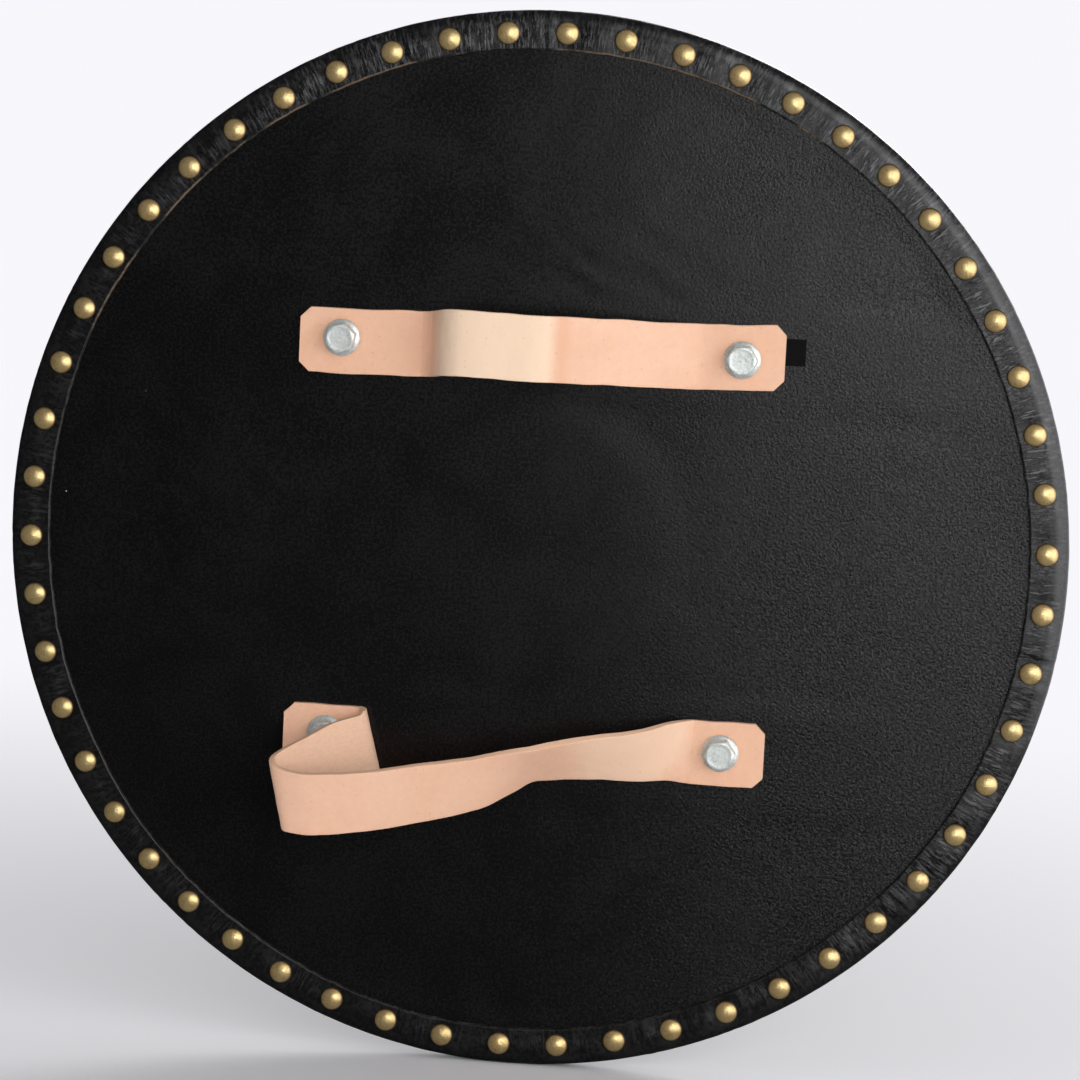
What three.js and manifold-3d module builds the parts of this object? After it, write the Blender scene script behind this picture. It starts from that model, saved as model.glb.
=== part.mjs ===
// A round targe, twenty inches across: a board of two crosswise plies, a leather lining on its back,
// a facing of black leather drawn over the rim and nailed down behind, and two straps for the arm.
// The disc's axis is Y. The straps and the bolt heads face -Y, the boss faces +Y, +Z is up,
// and the origin is the middle of the lining's outer face, where the forearm lies.

import * as THREE from 'three';
import { mergeVertices } from 'three/addons/utils/BufferGeometryUtils.js';
import Module from 'manifold-3d';

const wasm = await Module();
wasm.setup();

// Disc, in millimetres
const discRadius = 254;
const facingThickness = 2;
const plyThickness = 6;
const liningThickness = 1.2;
const rimRounding = 6;
const hemWidth = 17.5;
const hemEdgeBevel = 0.7;
const restRadius = 60;

// Fits
const clearance = 0.3;
const overrun = 1;

// Nail heads
const tackRadius = 5.55;
const tackDome = 2.8;
const tackInset = 9.3;
const tackCount = 54;
const tackStart = 2.31;
const faceTackRadius = 4.2;
const faceTackDome = 2.2;
const faceRingShares = [
  { out: 0.89, count: 32 },
  { out: 0.66, count: 24 },
  { out: 0.41, count: 16 },
];

// Places of the four strap bolts
const boltSpan = 191.7;
const boltsAside = 0.55;
const gripAbove = 95.6;
const armBelow = 96.7;
const armRise = 2.9;

// Straps
const strapWidth = 31.2;
const strapThickness = 3;
const strapCorner = 4.8;
const gripOverhang = 20.3;
const armOverhang = 21;
const foldedOverhang = 20.5;
const gripDepth = 31.5;
const gripSkew = 1.4;
const gripLift = 2.8;
const foldRadius = 4.3;
const loopDepth = 54.5;
const loopDrop = 27;

// Flange bolts, M8 by 16
const boltRadius = 4;
const boltLength = 16;
const hexFlats = 13;
const headHeight = 8;
const flangeRadius = 8.95;
const flangeEdge = 1.1;
const flangeRise = 2.4;
const headChamfer = 1.1;
const tipChamfer = 0.9;
const boltTurns = [12, 28, 16, 23];

// Tee nuts
const nutBarrelRadius = 5.2;
const nutBarrelLength = 8;
const nutFlangeRadius = 10;
const nutFlangeThickness = 1.2;
const prongWidth = 3;
const prongThickness = 1;
const prongLength = 4.2;
const prongInset = 1.6;
const prongCount = 3;

// Boss and its nails
const bossRadius = 56;
const bossFlangeWidth = 15;
const bossHeight = 24;
const bossThickness = 1.2;
const bossRoll = 1.6;
const bossNailCount = 12;
const bossNailInset = 6.5;
const bossNailRadius = 3.6;
const bossNailDome = 1.9;
const bossShankRadius = 1.1;
const bossShankLength = 8.2;

// Woven tabs
const tabWidth = 13;
const tabLength = 9.5;
const tabTuck = 5;
const tabThickness = 0.6;
const gripTabAbove = 4.7;
const armTabBelow = 3.4;

// How finely round things are faceted
const discSides = 64;
const restSides = 7;
const cornerSteps = 3;
const plyCornerSteps = 2;
const boreSides = 12;
const headSides = 18;
const tackSides = 8;
const bossSides = 36;
const domeSteps = 6;
const nailSides = 6;
const stepsPerRuler = 3;

// Planes and radii that follow from the sizes above
const gripLine = gripAbove;
const armLine = -armBelow;
const armLandingLine = armLine + armRise;
const backPlyBack = liningThickness;
const plyJoint = backPlyBack + plyThickness;
const frontPlyFront = plyJoint + plyThickness;
const facingFront = frontPlyFront + facingThickness;
const coreRadius = discRadius - facingThickness;
const coreRounding = rimRounding - facingThickness;
const flatRadius = coreRadius - coreRounding;
const hemInnerRadius = discRadius - hemWidth;
const bossDomeRadius = bossRadius - bossFlangeWidth;
const strapFace = -strapThickness;
const leftBoltX = -boltsAside - boltSpan / 2;
const rightBoltX = -boltsAside + boltSpan / 2;

const boltPlaces = [
  { x: leftBoltX, z: gripLine },
  { x: rightBoltX, z: gripLine },
  { x: leftBoltX, z: armLine },
  { x: rightBoltX, z: armLandingLine },
];

// Rulers of the grip strap between its flat ends: how far along the bolt span, out and up
const gripRulerShares = [
  { along: -0.86, out: 0, up: -0.15 },
  { along: -0.7, out: 0, up: -0.05 },
  { along: -0.592, out: 0, up: 0 },
  { along: -0.54, out: 0.12, up: 0.15 },
  { along: -0.495, out: 0.42, up: 0.52 },
  { along: -0.45, out: 0.72, up: 0.9 },
  { along: -0.39, out: 0.885, up: 1.08 },
  { along: -0.29, out: 0.96, up: 1.05 },
  { along: -0.15, out: 0.985, up: 0.86 },
  { along: -0.01, out: 1, up: 0.72 },
  { along: 0.07, out: 0.96, up: 0.66 },
  { along: 0.17, out: 0.85, up: 0.6 },
  { along: 0.3, out: 0.7, up: 0.45 },
  { along: 0.506, out: 0.43, up: 0.125 },
  { along: 0.689, out: 0.15, up: -0.135 },
  { along: 0.79, out: 0.02, up: -0.255 },
  { along: 0.85, out: 0, up: -0.24 },
  { along: 0.9, out: 0, up: -0.18 },
];

// The fold of the arm strap: how far along the bolt span it starts, and the angles of its rulers
const flatBeforeFoldShare = -0.89;
const foldStartShare = -0.81;
const foldLean = 15;
const foldAngles = [0, 36, 72, 108, 144];

// Rulers of the arm strap after its fold: how far along the bolt span, out of the fold and down,
// with the lean of each ruler and its tilt towards the eye in degrees
const armRulerShares = [
  { along: -0.895, out: 0.19, down: 0.25, lean: 15, tilt: 2 },
  { along: -1.006, out: 0.44, down: 0.435, lean: 13.5, tilt: 4 },
  { along: -1.104, out: 0.7, down: 0.605, lean: 12, tilt: 6 },
  { along: -1.146, out: 0.86, down: 0.735, lean: 12, tilt: 8 },
  { along: -1.131, out: 0.965, down: 0.83, lean: 10, tilt: 10 },
  { along: -1.034, out: 1, down: 0.9, lean: 5, tilt: 12.5 },
  { along: -0.855, out: 0.935, down: 0.89, lean: -2, tilt: 14 },
  { along: -0.65, out: 0.826, down: 0.8, lean: -5, tilt: 15.5 },
  { along: -0.363, out: 0.673, down: 0.62, lean: -6.5, tilt: 20.5 },
  { along: -0.162, out: 0.564, down: 0.46, lean: -7, tilt: 27.5 },
  { along: -0.015, out: 0.478, down: 0.268, lean: -7.5, tilt: 40 },
  { along: 0.09, out: 0.417, down: 0.12, lean: -8, tilt: 49 },
  { along: 0.246, out: 0.325, down: 0.03, lean: -7, tilt: 45.5 },
  { along: 0.408, out: 0.225, down: -0.015, lean: -5, tilt: 40 },
  { along: 0.609, out: 0.085, down: -0.05, lean: -2, tilt: 31 },
];
const armLandingShares = [
  { along: 0.745, out: 0.09, down: 0.005, lean: 0, tilt: 19.5 },
  { along: 0.82, out: 0.024, down: 0.005, lean: 0, tilt: 6 },
  { along: 0.857, out: 0, down: 0.012, lean: 0, tilt: 0 },
  { along: 0.895, out: 0, down: 0.015, lean: 0, tilt: 0 },
];
const foldedEndDownShare = 0.06;
const landedEndDownShare = 0.015;

const finishes = {
  blackLeather: { color: 0x17171a, roughness: 0.5, metalness: 0 },
  liningLeather: { color: 0x1b1c1f, roughness: 0.62, metalness: 0 },
  board: { color: 0xc49a6a, roughness: 0.8, metalness: 0 },
  strapLeather: { color: 0xeec0a3, roughness: 0.68, metalness: 0 },
  zinc: { color: 0xb4b8bb, roughness: 0.38, metalness: 1 },
  brass: { color: 0xc19a4a, roughness: 0.35, metalness: 1 },
  woven: { color: 0x0e0e10, roughness: 0.9, metalness: 0 },
};

/** Radians of an angle given in degrees. */
function radians(degrees) {
  return THREE.MathUtils.degToRad(degrees);
}

/** A closed solid from a geometry, with its shared corners merged. */
function solidOf(geometry) {
  const bare = geometry.clone();
  bare.deleteAttribute('normal');
  bare.deleteAttribute('uv');
  const merged = mergeVertices(bare);
  return new wasm.Manifold(new wasm.Mesh({
    numProp: 3,
    vertProperties: new Float32Array(merged.attributes.position.array),
    triVerts: new Uint32Array(merged.index.array),
  }));
}

/** The geometry of a solid. */
function geometryOf(solid) {
  const mesh = solid.getMesh();
  const geometry = new THREE.BufferGeometry();
  geometry.setAttribute('position', new THREE.BufferAttribute(mesh.vertProperties, mesh.numProp));
  geometry.setIndex(new THREE.BufferAttribute(mesh.triVerts, 1));
  geometry.computeVertexNormals();
  return geometry;
}

/** A solid turned about Y. The profile runs from the back outwards and home along the front. */
function turned(profile, sides) {
  const points = profile.map(([radius, y]) => new THREE.Vector2(radius, y));
  return solidOf(new THREE.LatheGeometry(points, sides));
}

/** Points on an arc in the profile plane, both ends included. Angles are in degrees from +radius. */
function arc(centreRadius, centreY, radius, fromAngle, toAngle, steps = cornerSteps) {
  return Array.from({ length: steps + 1 }, (unused, step) => {
    const angle = radians(THREE.MathUtils.lerp(fromAngle, toAngle, step / steps));
    return [centreRadius + radius * Math.cos(angle), centreY + radius * Math.sin(angle)];
  });
}

/** A round bar along Y between two planes, to cut with or to join. */
function bar(radius, fromY, toY, sides, x = 0, z = 0) {
  return turned([[0, fromY], [radius, fromY], [radius, toY], [0, toY]], sides).translate([x, 0, z]);
}

/** A block given by its middle and its three sizes. */
function block(centre, size) {
  return solidOf(new THREE.BoxGeometry(...size)).translate(centre);
}

/** A solid less all the cutters in a list. */
function cut(solid, cutters) {
  return solid.subtract(wasm.Manifold.union(cutters));
}

/** A finished sub-part. */
function piece(name, solid, finish) {
  const mesh = new THREE.Mesh(geometryOf(solid), new THREE.MeshStandardMaterial(finish));
  mesh.name = name;
  return mesh;
}

/** A nail head that swells towards -Y or +Y from a plane and is rooted in what lies under it. */
function nailHead(radius, dome, plane, towards, rootDepth, sides) {
  const domeRadius = (radius * radius + dome * dome) / (2 * dome);
  const centreY = plane + towards * (dome - domeRadius);
  const edgeAngle = THREE.MathUtils.radToDeg(Math.asin((domeRadius - dome) / domeRadius));
  const root = plane - towards * rootDepth;
  if (towards < 0) {
    const curve = arc(0, centreY, domeRadius, -90, -edgeAngle, 2);
    curve[0][0] = 0;
    return turned([...curve, [radius, root], [0, root]], sides);
  }
  const curve = arc(0, centreY, domeRadius, edgeAngle, 90, 2);
  curve[curve.length - 1][0] = 0;
  return turned([[0, root], [radius, root], ...curve], sides);
}

/** How far, in degrees, the hand-set nails of the rim stray from an even step. */
function strayAt(angle) {
  return 0.3 * Math.cos(angle) + 0.06 * Math.cos(2 * angle) + 0.3 * Math.sin(2 * angle);
}

/** The heads of the rim's nails on the turned hem, as seen from behind, from +X towards +Z. */
function rimNails() {
  const ring = discRadius - tackInset;
  const head = nailHead(tackRadius, tackDome, -facingThickness, -1, facingThickness / 2, tackSides);
  return Array.from({ length: tackCount }, (unused, index) => {
    const even = radians(tackStart + (360 * index) / tackCount);
    const angle = even + radians(strayAt(even));
    return head.translate([ring * Math.cos(angle), 0, ring * Math.sin(angle)]);
  });
}

/** The heads of the nails that ring the boss on the front. */
function faceNails() {
  const head = nailHead(faceTackRadius, faceTackDome, facingFront, 1, facingThickness / 2, nailSides);
  return faceRingShares.flatMap(({ out, count }) => Array.from({ length: count }, (unused, index) => {
    const ring = discRadius * out;
    const angle = radians((360 * index) / count);
    return head.translate([ring * Math.sin(angle), 0, ring * Math.cos(angle)]);
  }));
}

/** Where the boss nails stand. */
function bossNailPlaces() {
  const ring = bossRadius - bossNailInset;
  return Array.from({ length: bossNailCount }, (unused, index) => {
    const angle = radians((360 * (index + 0.5)) / bossNailCount);
    return { x: ring * Math.sin(angle), z: ring * Math.cos(angle) };
  });
}

/** Bores for the shanks of the boss nails between two planes. */
function bossNailBores(fromY, toY) {
  const radius = bossShankRadius + clearance;
  return bossNailPlaces().map(({ x, z }) => bar(radius, fromY, toY, nailSides, x, z));
}

/** Bores on the four bolt axes between two planes. */
function boltBores(radius, fromY, toY, sides = boreSides) {
  return boltPlaces.map(({ x, z }) => bar(radius, fromY, toY, sides, x, z));
}

/** The leather facing: one skin over the front, round the rim and turned over behind as a hem. */
function leatherFacing() {
  const skin = turned([
    [0, frontPlyFront],
    ...arc(flatRadius, frontPlyFront - coreRounding, coreRounding, 90, 0),
    ...arc(flatRadius, coreRounding, coreRounding, 0, -90),
    [hemInnerRadius, 0],
    [hemInnerRadius, hemEdgeBevel - facingThickness],
    [hemInnerRadius + hemEdgeBevel, -facingThickness],
    ...arc(flatRadius, coreRounding, rimRounding, -90, 0),
    ...arc(flatRadius, frontPlyFront - coreRounding, rimRounding, 0, 90),
    [0, facingFront],
  ], discSides);
  const studded = wasm.Manifold.union([skin, ...rimNails(), ...faceNails()]);
  return cut(studded, bossNailBores(frontPlyFront - overrun, facingFront + overrun));
}

/**
 * The lining: a thin leather disc glued to the back ply, its edge under the hem. Its middle, where the
 * forearm rests, is joined in as a bar of its own, so that its faces there stay clear of the straps.
 */
function backLining() {
  const disc = bar(flatRadius - clearance, 0, liningThickness, discSides);
  const rest = bar(restRadius, 0, liningThickness, restSides);
  const restHole = bar(restRadius, -overrun, liningThickness + overrun, restSides);
  const bores = boltBores(boltRadius + clearance, -overrun, liningThickness + overrun);
  return cut(disc, [restHole, ...bores]).add(rest);
}

/** The back ply, rounded where the facing turns over it. */
function backPly() {
  const rounding = coreRounding - clearance;
  const startAngle = THREE.MathUtils.radToDeg(Math.asin((backPlyBack - coreRounding) / rounding));
  const disc = turned([
    [0, backPlyBack],
    ...arc(flatRadius, coreRounding, rounding, startAngle, 0, plyCornerSteps),
    [coreRadius - clearance, plyJoint],
    [0, plyJoint],
  ], discSides);
  return cut(disc, boltBores(nutBarrelRadius + clearance, backPlyBack - overrun, plyJoint + overrun));
}

/** The prongs of a tee nut, grown by a play all round, to join to it or to cut their pockets. */
function prongs(play) {
  const middle = nutFlangeRadius - prongInset;
  const root = frontPlyFront - nutFlangeThickness / 2;
  const tip = frontPlyFront - nutFlangeThickness - prongLength - play;
  const size = [prongWidth + 2 * play, root - tip, prongThickness + 2 * play];
  const prong = block([0, (root + tip) / 2, middle], size);
  return Array.from({ length: prongCount }, (unused, index) => (
    prong.rotate([0, (360 * index) / prongCount, 0])
  ));
}

/** The front ply, with seats for the tee nuts' flanges and blind bores for the boss nails. */
function frontPly() {
  const disc = turned([
    [0, plyJoint],
    [coreRadius - clearance, plyJoint],
    ...arc(flatRadius - clearance, frontPlyFront - coreRounding, coreRounding, 0, 90, plyCornerSteps),
    [0, frontPlyFront],
  ], discSides);
  const seatFloor = frontPlyFront - nutFlangeThickness;
  const pockets = boltPlaces.flatMap(({ x, z }) => (
    prongs(clearance).map((pocket) => pocket.translate([x, 0, z]))
  ));
  const nailTip = facingFront + bossThickness - bossShankLength;
  return cut(disc, [
    ...boltBores(nutBarrelRadius + clearance, plyJoint - overrun, frontPlyFront + overrun),
    ...boltBores(nutFlangeRadius + clearance, seatFloor, frontPlyFront + overrun, headSides),
    ...pockets,
    ...bossNailBores(nailTip - clearance, frontPlyFront + overrun),
  ]);
}

/** A tee nut: a flange let into the front ply, a barrel for the bolt and three prongs. */
function teeNut() {
  const seat = frontPlyFront - nutFlangeThickness;
  const body = turned([
    [0, seat - nutBarrelLength],
    [nutBarrelRadius, seat - nutBarrelLength],
    [nutBarrelRadius, seat],
    [nutFlangeRadius, seat],
    [nutFlangeRadius, frontPlyFront],
    [0, frontPlyFront],
  ], headSides);
  const bore = bar(boltRadius + clearance, seat - nutBarrelLength - overrun, frontPlyFront + overrun, boreSides);
  return wasm.Manifold.union([body, ...prongs(0)]).subtract(bore);
}

/** A flange bolt: chamfered hexagon on a coned flange, its top left plain, with its shank. */
function flangeBolt() {
  const hexCorner = hexFlats / 2 / Math.cos(Math.PI / 6);
  const top = strapFace - headHeight;
  const flangeTop = strapFace - flangeEdge;
  const coneTop = strapFace - flangeRise;
  const hexagon = bar(hexCorner, top, strapFace - flangeEdge / 2, 6);
  const chamfer = turned([
    [0, top],
    [hexFlats / 2 - headChamfer / 2, top],
    [hexFlats / 2 + headChamfer, top + headChamfer],
    [hexFlats / 2 + headChamfer, strapFace],
    [0, strapFace],
  ], headSides);
  const tip = strapFace + boltLength;
  const round = turned([
    [0, coneTop],
    [hexFlats / 2, coneTop],
    [flangeRadius, flangeTop],
    [flangeRadius, strapFace],
    [boltRadius, strapFace],
    [boltRadius, tip - tipChamfer],
    [boltRadius - tipChamfer, tip],
    [0, tip],
  ], headSides);
  return hexagon.intersect(chamfer).add(round);
}

/** The spun boss: a hollow dome that runs out through a rolled foot into a flat flange. */
function centreBoss() {
  const base = facingFront;
  const outerDome = (bossDomeRadius * bossDomeRadius + bossHeight * bossHeight) / (2 * bossHeight);
  const innerDome = outerDome - bossThickness;
  const centreY = base + bossHeight - outerDome;
  const outerFoot = THREE.MathUtils.radToDeg(Math.asin((base + bossThickness - centreY) / outerDome));
  const innerFoot = THREE.MathUtils.radToDeg(Math.asin((base - centreY) / innerDome));
  const inside = arc(0, centreY, innerDome, 90, innerFoot, domeSteps);
  const outside = arc(0, centreY, outerDome, outerFoot, 90, domeSteps);
  inside[0][0] = 0;
  outside[domeSteps][0] = 0;
  const shell = turned([
    ...inside,
    [bossRadius, base],
    [bossRadius, base + bossThickness],
    [bossRadius - bossRoll / 2, base + bossThickness + bossRoll / 2],
    [bossRadius - bossRoll, base + bossThickness],
    ...outside,
  ], bossSides);
  return cut(shell, bossNailBores(base - overrun, base + bossThickness + overrun));
}

/** A boss nail: a domed head on the flange and a shank into the front ply. */
function bossNail() {
  const seat = facingFront + bossThickness;
  const head = nailHead(bossNailRadius, bossNailDome, seat, 1, 0, nailSides);
  return head.add(bar(bossShankRadius, seat - bossShankLength, seat + bossNailDome / 2, nailSides));
}

/** A ruler across a strap: its middle, its direction from bottom to top, and how wide it is. */
function ruler(x, out, z, lean = 0, tilt = 0, width = strapWidth) {
  return { place: new THREE.Vector3(x, -strapThickness / 2 - out, z), lean, tilt, width };
}

/** A strap of even thickness drawn through its rulers, its back never sunk into the lining. */
function strapThrough(rulers) {
  const path = new THREE.CatmullRomCurve3(rulers.map((each) => each.place));
  const turns = new THREE.CatmullRomCurve3(
    rulers.map((each) => new THREE.Vector3(each.lean, each.tilt, each.width)),
  );
  const steps = (rulers.length - 1) * stepsPerRuler;
  const corners = [];
  for (let step = 0; step <= steps; step += 1) {
    const share = step / steps;
    const { x: lean, y: tilt, z: width } = turns.getPoint(share);
    const place = path.getPoint(share);
    place.y = Math.min(place.y, -strapThickness / 2);
    const along = path.getTangent(share);
    const across = new THREE.Vector3(
      -Math.sin(radians(lean)) * Math.cos(radians(tilt)),
      -Math.sin(radians(tilt)),
      Math.cos(radians(lean)) * Math.cos(radians(tilt)),
    );
    const out = new THREE.Vector3().crossVectors(along, across).normalize();
    const squareness = Math.sqrt(1 - along.dot(across) ** 2);
    const half = across.clone().multiplyScalar(width / 2 / squareness);
    const thick = out.clone().multiplyScalar(strapThickness / 2);
    const ring = [
      place.clone().add(half).add(thick),
      place.clone().sub(half).add(thick),
      place.clone().sub(half).sub(thick),
      place.clone().add(half).sub(thick),
    ];
    ring.forEach((corner) => corners.push(corner.x, Math.min(corner.y, 0), corner.z));
  }
  const faces = [0, 3, 2, 0, 2, 1];
  for (let step = 0; step < steps; step += 1) {
    for (let side = 0; side < 4; side += 1) {
      const here = step * 4 + side;
      const next = step * 4 + ((side + 1) % 4);
      faces.push(here, next, next + 4, here, next + 4, here + 4);
    }
  }
  const last = steps * 4;
  faces.push(last, last + 1, last + 2, last, last + 2, last + 3);
  const geometry = new THREE.BufferGeometry();
  geometry.setAttribute('position', new THREE.Float32BufferAttribute(corners, 3));
  geometry.setIndex(faces);
  return solidOf(geometry);
}

/** The place along X of a share of the bolt span, from -1 at the left bolt to 1 at the right. */
function alongSpan(share) {
  return -boltsAside + (share * boltSpan) / 2;
}

/** Bores for the left and right bolts through a strap, and the hollow that its tab presses into it. */
function strapCutters(leftZ, rightZ, tab) {
  const radius = boltRadius + clearance;
  const from = strapFace - overrun;
  return [
    bar(radius, from, overrun, boreSides, leftBoltX, leftZ),
    bar(radius, from, overrun, boreSides, rightBoltX, rightZ),
    tabBlock(tab, clearance, overrun),
  ];
}

/** The grip: flat under both bolts and bowed out between them for the hand. */
function gripStrap() {
  const leftEnd = leftBoltX - gripOverhang;
  const rightEnd = rightBoltX + gripOverhang;
  const cornered = strapWidth - 2 * strapCorner;
  const lineAt = (x) => gripLine + (gripSkew * (x + boltsAside) * 2) / boltSpan;
  const rulers = [
    ruler(leftEnd, 0, lineAt(leftEnd), 0, 0, cornered),
    ruler(leftEnd + strapCorner, 0, lineAt(leftEnd + strapCorner)),
    ...gripRulerShares.map(({ along, out, up }) => (
      ruler(alongSpan(along), gripDepth * out, lineAt(alongSpan(along)) + gripLift * up)
    )),
    ruler(rightEnd - strapCorner, 0, lineAt(rightEnd - strapCorner)),
    ruler(rightEnd, 0, lineAt(rightEnd), 0, 0, cornered),
  ];
  return cut(strapThrough(rulers), strapCutters(gripLine, gripLine, gripTab));
}

/** Rulers of the fold: the strap rolls back over itself about a leaning line. */
function foldRulers() {
  const start = alongSpan(foldStartShare);
  const startLine = armLine - loopDrop * foldedEndDownShare;
  const lean = radians(foldLean);
  return foldAngles.map((degrees) => {
    const turn = radians(degrees);
    const forward = foldRadius * Math.sin(turn);
    const creep = foldRadius * turn * Math.tan(lean);
    return ruler(
      start + forward * Math.cos(lean) + creep * Math.sin(lean),
      foldRadius * (1 - Math.cos(turn)),
      startLine + forward * Math.sin(lean) - creep * Math.cos(lean),
      foldLean,
    );
  });
}

/** The arm strap: folded back over its left bolt, bent round again and twisted down to the right. */
function armStrap() {
  const leftEnd = leftBoltX - foldedOverhang;
  const rightEnd = rightBoltX + armOverhang;
  const cornered = strapWidth - 2 * strapCorner;
  const leftLine = armLine - loopDrop * foldedEndDownShare;
  const rightLine = armLandingLine - loopDrop * landedEndDownShare;
  const free = (each) => ruler(
    alongSpan(each.along),
    2 * foldRadius + (loopDepth - 2 * foldRadius) * each.out,
    armLine - loopDrop * each.down,
    each.lean,
    each.tilt,
  );
  const landing = (each) => ruler(
    alongSpan(each.along),
    loopDepth * each.out,
    armLandingLine - loopDrop * each.down,
    each.lean,
    each.tilt,
  );
  const rulers = [
    ruler(leftEnd, 0, leftLine, 0, 0, cornered),
    ruler(leftEnd + strapCorner, 0, leftLine),
    ruler(leftBoltX, 0, leftLine, foldLean / 4),
    ruler(alongSpan(flatBeforeFoldShare), 0, leftLine, foldLean / 2),
    ...foldRulers(),
    ...armRulerShares.map(free),
    ...armLandingShares.map(landing),
    ruler(rightEnd - strapCorner, 0, rightLine),
    ruler(rightEnd, 0, rightLine, 0, 0, cornered),
  ];
  return cut(strapThrough(rulers), strapCutters(armLine, armLandingLine, armTab));
}

/** The ends of a woven tab along X, and the middle of its width. */
const gripTab = {
  from: rightBoltX + gripOverhang - tabTuck,
  to: rightBoltX + gripOverhang + tabLength,
  middle: gripLine + gripTabAbove,
};
const armTab = {
  from: leftBoltX - foldedOverhang - tabLength,
  to: leftBoltX - foldedOverhang + tabTuck,
  middle: armLine - armTabBelow,
};

/** A woven tab flat on the lining, grown by a play all round and run past the lining's face. */
function tabBlock(tab, play, past) {
  const outside = -(tabThickness + play);
  const size = [tab.to - tab.from + 2 * play, past - outside, tabWidth + 2 * play];
  return block([(tab.from + tab.to) / 2, (outside + past) / 2, tab.middle], size);
}

/** The whole targe. */
function targe() {
  const group = new THREE.Group();
  group.add(
    piece('core_front_ply', frontPly(), finishes.board),
    piece('core_back_ply', backPly(), finishes.board),
    piece('leather_facing', leatherFacing(), finishes.blackLeather),
    piece('back_lining', backLining(), finishes.liningLeather),
    piece('grip_strap', gripStrap(), finishes.strapLeather),
    piece('arm_strap', armStrap(), finishes.strapLeather),
    piece('woven_tab_upper', tabBlock(gripTab, 0, 0), finishes.woven),
    piece('woven_tab_lower', tabBlock(armTab, 0, 0), finishes.woven),
    piece('centre_boss', centreBoss(), finishes.brass),
  );
  boltPlaces.forEach(({ x, z }, index) => {
    const bolt = piece(`strap_bolt_${index + 1}`, flangeBolt(), finishes.zinc);
    bolt.position.set(x, 0, z);
    bolt.rotation.y = radians(boltTurns[index]);
    const nut = piece(`tee_nut_${index + 1}`, teeNut(), finishes.zinc);
    nut.position.set(x, 0, z);
    group.add(bolt, nut);
  });
  bossNailPlaces().forEach(({ x, z }, index) => {
    const number = String(index + 1).padStart(2, '0');
    const nail = piece(`boss_nail_${number}`, bossNail(), finishes.brass);
    nail.position.set(x, 0, z);
    group.add(nail);
  });
  return group;
}

export default targe();
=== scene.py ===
"""A round targe seen from behind: black leather, a nailed hem and two bolted leather straps.

Lengths in the classes are millimetres and become metres in the meshes. X is to the right, Z up and
+Y out of the front, so the bearer's side faces -Y. The lining's outer face is the plane y = 0.
"""

import logging
import math
from collections.abc import Callable
from dataclasses import dataclass
from enum import Enum
from functools import reduce

import bpy
import numpy as np
from mathutils import Matrix, Vector


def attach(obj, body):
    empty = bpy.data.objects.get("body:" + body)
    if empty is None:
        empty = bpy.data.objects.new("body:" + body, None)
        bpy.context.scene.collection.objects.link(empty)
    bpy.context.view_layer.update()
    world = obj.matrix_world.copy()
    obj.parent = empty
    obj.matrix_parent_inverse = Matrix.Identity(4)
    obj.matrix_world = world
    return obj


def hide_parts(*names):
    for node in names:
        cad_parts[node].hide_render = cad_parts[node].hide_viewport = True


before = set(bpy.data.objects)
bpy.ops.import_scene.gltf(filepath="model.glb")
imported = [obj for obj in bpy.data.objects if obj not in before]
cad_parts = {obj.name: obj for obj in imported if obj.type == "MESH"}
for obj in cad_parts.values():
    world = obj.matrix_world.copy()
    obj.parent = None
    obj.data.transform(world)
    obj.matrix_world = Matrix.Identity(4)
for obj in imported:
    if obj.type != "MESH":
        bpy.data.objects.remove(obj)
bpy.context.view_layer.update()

log = logging.getLogger("targe")
MM = 0.001
DISC_RADIUS = 254.0


class Side(Enum):
    """The two sides of the disc, and which way each faces along Y."""

    BACK = -1
    FRONT = 1


class Rays(Enum):
    """The looks that a lamp can be hidden from: those of glossy surfaces or those of matt ones."""

    GLOSSY = "glossy"
    MATT = "diffuse"


# Shapes


def circle(count: int, first: float = 0.0) -> np.ndarray:
    """Even angles round a circle in radians, the first one given as a share of a step."""
    return (np.arange(count) + first) / count * 2 * np.pi


def ease(low: float, high: float, value: np.ndarray) -> np.ndarray:
    """The smooth step 3t^2 - 2t^3 of how far value is from low to high."""
    share = np.clip((value - low) / (high - low), 0, 1)
    return share * share * (3 - 2 * share)


def hump(distance: np.ndarray, spread: float) -> np.ndarray:
    """The bell curve exp(-(distance / spread)^2)."""
    return np.exp(-((distance / spread) ** 2))


def ring_noise(angle: np.ndarray, seed: int, lowest: int, highest: int, fall: float = 0.0) -> np.ndarray:
    """Noise round a ring: cosines of whole wave numbers k with random phases, each k^-fall strong.

    Args:
        angle: angles round the ring, in radians.
        seed: what the phases are drawn from.
        lowest: the smallest wave number.
        highest: the largest wave number.
        fall: how fast the higher waves weaken.

    Returns:
        The noise, scaled to a root mean square of one.
    """
    dice = np.random.default_rng(seed)
    waves = np.arange(lowest, highest + 1)
    phases = dice.uniform(0, 2 * np.pi, waves.size)
    sizes = dice.uniform(0.3, 1, waves.size) * waves ** -fall
    total = (sizes * np.cos(angle[..., None] * waves + phases)).sum(-1)
    return total / np.sqrt((sizes ** 2).sum() / 2)


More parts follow.
